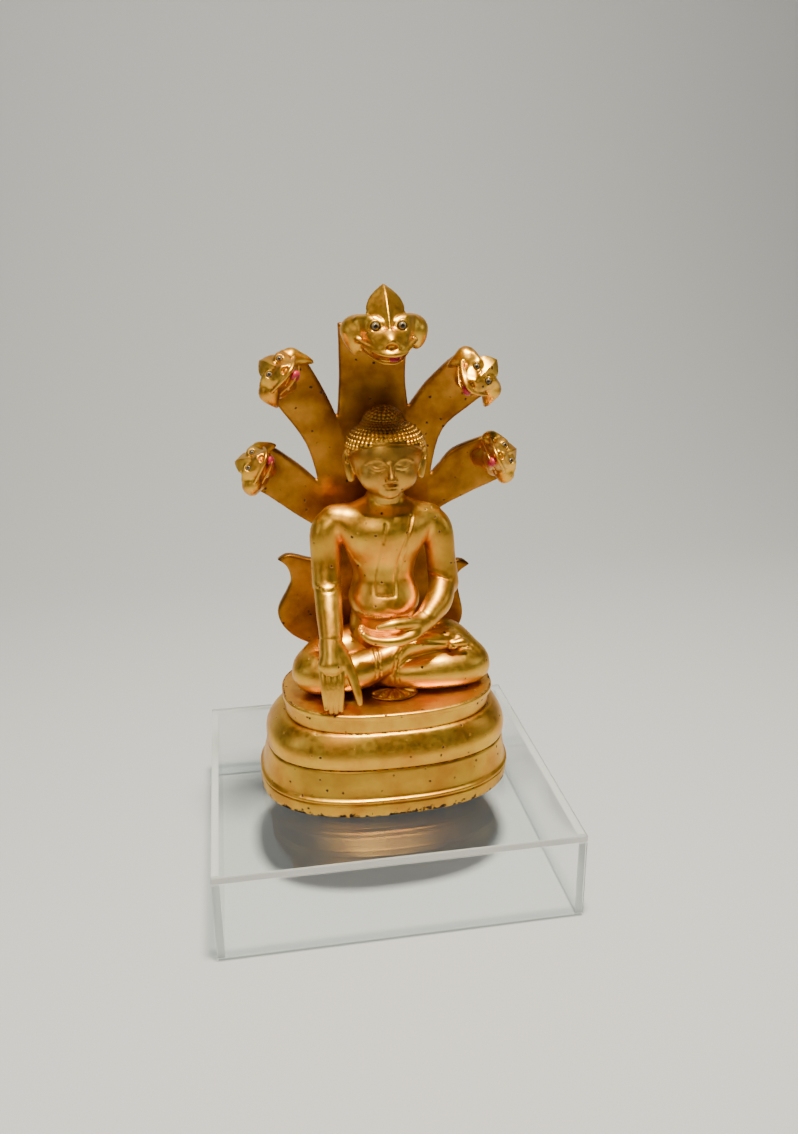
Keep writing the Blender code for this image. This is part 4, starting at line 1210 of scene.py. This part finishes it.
# Naga heads
# Five snake heads pegged to the front of the necks. Each has a leaf-shaped crest on the brow,
# a broad flat snout with a raised lip, round cheeks, glass eyes in rims and a red tongue.
# Each head's turn, nod and roll in degrees, its skull's middle, its scale, the tip of its crest,
# and the tips of the cheeks on its right and left side.
NAGA_HEADS = {
    "central": (
        (0.0, 0.0, 0.0), (3.0, 2.0, 301.0), 1.0, (0, -6, 34.8), (-23, -13, -15), (25, -10, -12),
    ),
    "upper_left": (
        (-5.4, -24.2, 56.7), (-77.8, 6.0, 266.2), 0.704, (0, -14, 27), (-29, 6, -12), (33, -1, -20),
    ),
    "upper_right": (
        (-13.9, 1.2, -51.4), (81.2, 6.0, 264.6), 0.727, (0, -14, 26), (-26, -5, -20), (34, 0, -16),
    ),
    "lower_left": (
        (-3.4, -35.6, 76.0), (-100.8, 15.0, 190.1), 0.66, (0, -14, 26), (-27, 12, 0), (33, -10, -16),
    ),
    "lower_right": (
        (3.6, -20.2, -71.6), (100.3, 15.0, 190.8), 0.671, (0, -14, 24), (-29, -12, -8), (29, -2, -4),
    ),
}
EYE_PLACE = (10.2, -30.0, 6.0)
EYE_RADIUS = 3.4
PUPIL_REACH, PUPIL_RADIUS = 3.5, 1.9
CENTRAL_TONGUE, OTHER_TONGUES = -27, -33  # how far forward a tongue's middle lies in its mouth
NAPE_STEP = 10.0  # a neck holds its head this far short of the skull's middle
NAPE_RADIUS = 12.0

eye_glass, eye_tree, eye_shader = new_finish("eye_bead_glass")
# Cloudy brown glass beads with a high gloss and a dark pupil painted on the front.
eye_tone = clouded(eye_tree, 3.3, 2.0, "#574b36", "#85775a")
pupil = add(eye_tree, "ShaderNodeAttribute", attribute_name="pupil").outputs["Fac"]
eye_colour = add(eye_tree, "ShaderNodeMixRGB", {0: pupil, 1: eye_tone, 2: linear("#17110c")})
eye_tree.links.new(eye_colour.outputs[0], eye_shader.inputs["Base Color"])
eye_shader.inputs["Roughness"].default_value = 0.12

tongue_red, tongue_tree, tongue_shader = new_finish("crimson_lacquer")
# Bright red lacquer brushed over the gold: satin, and streaked where the brush laid it thin.
tongue_tone = clouded(tongue_tree, 3, 4.0, "#a3122e", "#d62e4e")
tongue_tree.links.new(tongue_tone, tongue_shader.inputs["Base Color"])
tongue_shader.inputs["Roughness"].default_value = 0.35


def head_seat(turns, centre, scale):
    """The placing of a head that was carved facing -Y, after its turn, nod and roll in degrees."""
    turn, nod, roll = (math.radians(angle) for angle in turns)
    rotation = Matrix.Rotation(turn, 4, "Z") @ Matrix.Rotation(nod, 4, "X") @ Matrix.Rotation(-roll, 4, "Y")
    return Matrix.Translation(centre) @ rotation @ Matrix.Scale(scale, 4)


def nape_of(centre, scale):
    """Where the nape of the head with this middle ends: sunk half way into the neck's board."""
    x, _, z = centre
    reach = math.hypot(x, z - HUB_HEIGHT)
    x -= NAPE_STEP * x / reach
    z -= NAPE_STEP * (z - HUB_HEIGHT) / reach
    return Vector((x, board_middle(x, z) - NAPE_RADIUS * scale, z))


def naga_head(side, turns, centre, scale, crest, *flares):
    """Carves one head with its eyes and tongue. It faces -Y with its crest up until it is seated."""
    seat = head_seat(turns, centre, scale)
    nape = seat.inverted() @ nape_of(centre, scale)
    form = Carving((-44, -58, -36), (44, 48, 42), 0.8)
    form.ball((0, -7, 1), (25, 21, 12.5), soft=3.0)
    form.ball((0, 12, -3), (22, 17, 13), soft=5.0)
    form.limb([(0, 4, -2, 14), (*nape, NAPE_RADIUS)], soft=3.0)
    form.ball((0, -25, -3.5), (17, 18, 8.5), soft=7.0)
    form.ball((0, -37, -8.5), (11, 8.5, 5.0), soft=6.0)
    form.ball((0, -18, -17), (12, 16, 4.5), (8, 0, 0), soft=3.0)
    for hand, flare in zip((-1, 1), flares):
        form.ball((22 * hand, -6, 1), (12, 14, 11), (0, 0, 14 * hand), soft=8.0)
        middle = (0.55 * flare[0] + 11 * hand, 0.5 * flare[1] - 6, 0.5 * flare[2] - 1)
        form.limb([(23 * hand, -9, 0, 8.0), (*middle, 6.2), (*flare, 2.6)], soft=6.0)
        form.ball((10.2 * hand, -23, 5), (8.5, 8.5, 7.5), soft=6.0)
        brow = [(5 * hand, -29, 8, 1.2), (13 * hand, -25.5, 11, 1.8), (21 * hand, -17, 10, 2.0)]
        form.limb(brow, soft=6.0)
        form.scoop((14 * hand, -45, 1.5), (8.5, 9, 7.5), (0, 0, 20 * hand), soft=4.0)
    form.limb([(0, -27, 8, 1.6), (0, -36, 0.5, 1.8), (0, -42.5, -4, 2.4)], soft=4.0)
    form.leaf((0, -26, -2), crest, 15.5, 12.0, soft=0.8)

    # The upper lip is a rolled rim that swings down from the cheeks under the snout
    lip = [
        (-23, -22, -5, 1.8), (-17, -32, -8.5, 2.0), (-8.5, -42, -12.5, 2.1), (0, -45.5, -13.6, 2.2),
        (8.5, -42.5, -12.8, 2.1), (16, -34, -9, 2.0), (22, -24, -5.5, 1.8),
    ]
    form.limb(lip, soft=3.0)
    place, gap = form.path_form([(x, y - 1.0, z - 4.0, 1.9) for x, y, z, _ in lip], 5)
    form.cut(place, gap, 0.8)
    form.limb([(x * 0.84, y + 8, z - 7.5, 1.2) for x, y, z, _ in lip], soft=1.5)

    # Nose plate with its nostrils, eye rims and the lines round the crest
    form.groove([(-6.2, -8.6), (-3, -5.2), (0, -3.0), (3, -5.2), (6.2, -8.6)], 0.8, -0.8)
    form.scoop((0, -47.0, -7.6), (5.4, 4.2, 2.7), (-24, 0, 0), soft=0.4)
    for hand in (-1, 1):
        form.scoop((3.2 * hand, -45.0, -8.4), (1.5, 3.2, 1.4), soft=0.3)
    ring = [math.radians(30 * step) for step in range(13)]
    for hand in (-1, 1):
        x, y, z = EYE_PLACE
        form.scoop((x * hand, y - 1, z), (4.2, 4.8, 3.7), soft=0.5)
        rim = [(x * hand + 4.6 * math.cos(a), y - 1.0, z + 4.1 * math.sin(a), 0.9) for a in ring]
        form.limb(rim, soft=0.8)
        crest_line = [(15.5, 16.5), (11, 12.5), (6.5, 9.8), (2.6, 4.5)]
        form.groove([(x * hand, z) for x, z in crest_line], 0.7, 1.3)
    skin = form.skin("carved_naga_" + side, seat)
    finish_piece(skin, body_gold, "gold_leaf", "naga_head_" + side)

    for hand, sign in (("right", -1), ("left", 1)):
        x, y, z = EYE_PLACE
        bead = Carving((x * sign - 7, y - 7, z - 7), (x * sign + 7, y + 7, z + 7), 0.6)
        bead.ball((x * sign, y, z), (EYE_RADIUS,) * 3)
        eye = bead.skin(f"glass_eye_{side}_{hand}", seat)
        mark_pupil(eye.data, seat @ Vector((x * sign, y - PUPIL_REACH, z)), scale)
        finish_piece(eye, eye_glass, "eye_glass", f"eye_{side}_{hand}")

    tongue_form = Carving((-9, -56, -32), (15, -14, -6), 0.6)
    tongue_y = CENTRAL_TONGUE if side == "central" else OTHER_TONGUES
    tongue_form.ball((3, tongue_y, -19), (6.0, 8.0, 4.2), (-8, 0, 0))
    tongue = tongue_form.skin("painted_tongue_" + side, seat)
    finish_piece(tongue, tongue_red, "tongue_lacquer", "tongue_" + side)


def mark_pupil(mesh, spot, scale):
    """Stores how near each point of a bead is to its pupil: 1 inside it and 0 outside."""
    places = np.empty(len(mesh.vertices) * 3)
    mesh.vertices.foreach_get("co", places)
    gap = np.linalg.norm(places.reshape(-1, 3) / MM - FIGURE_PLACE - np.array(spot), axis=1)
    near = np.clip((PUPIL_RADIUS - gap / scale) / 0.3, 0, 1)
    mesh.attributes.new("pupil", "FLOAT", "POINT").data.foreach_set("value", near.astype(np.float32))


for side, shape in NAGA_HEADS.items():
    naga_head(side, *shape)
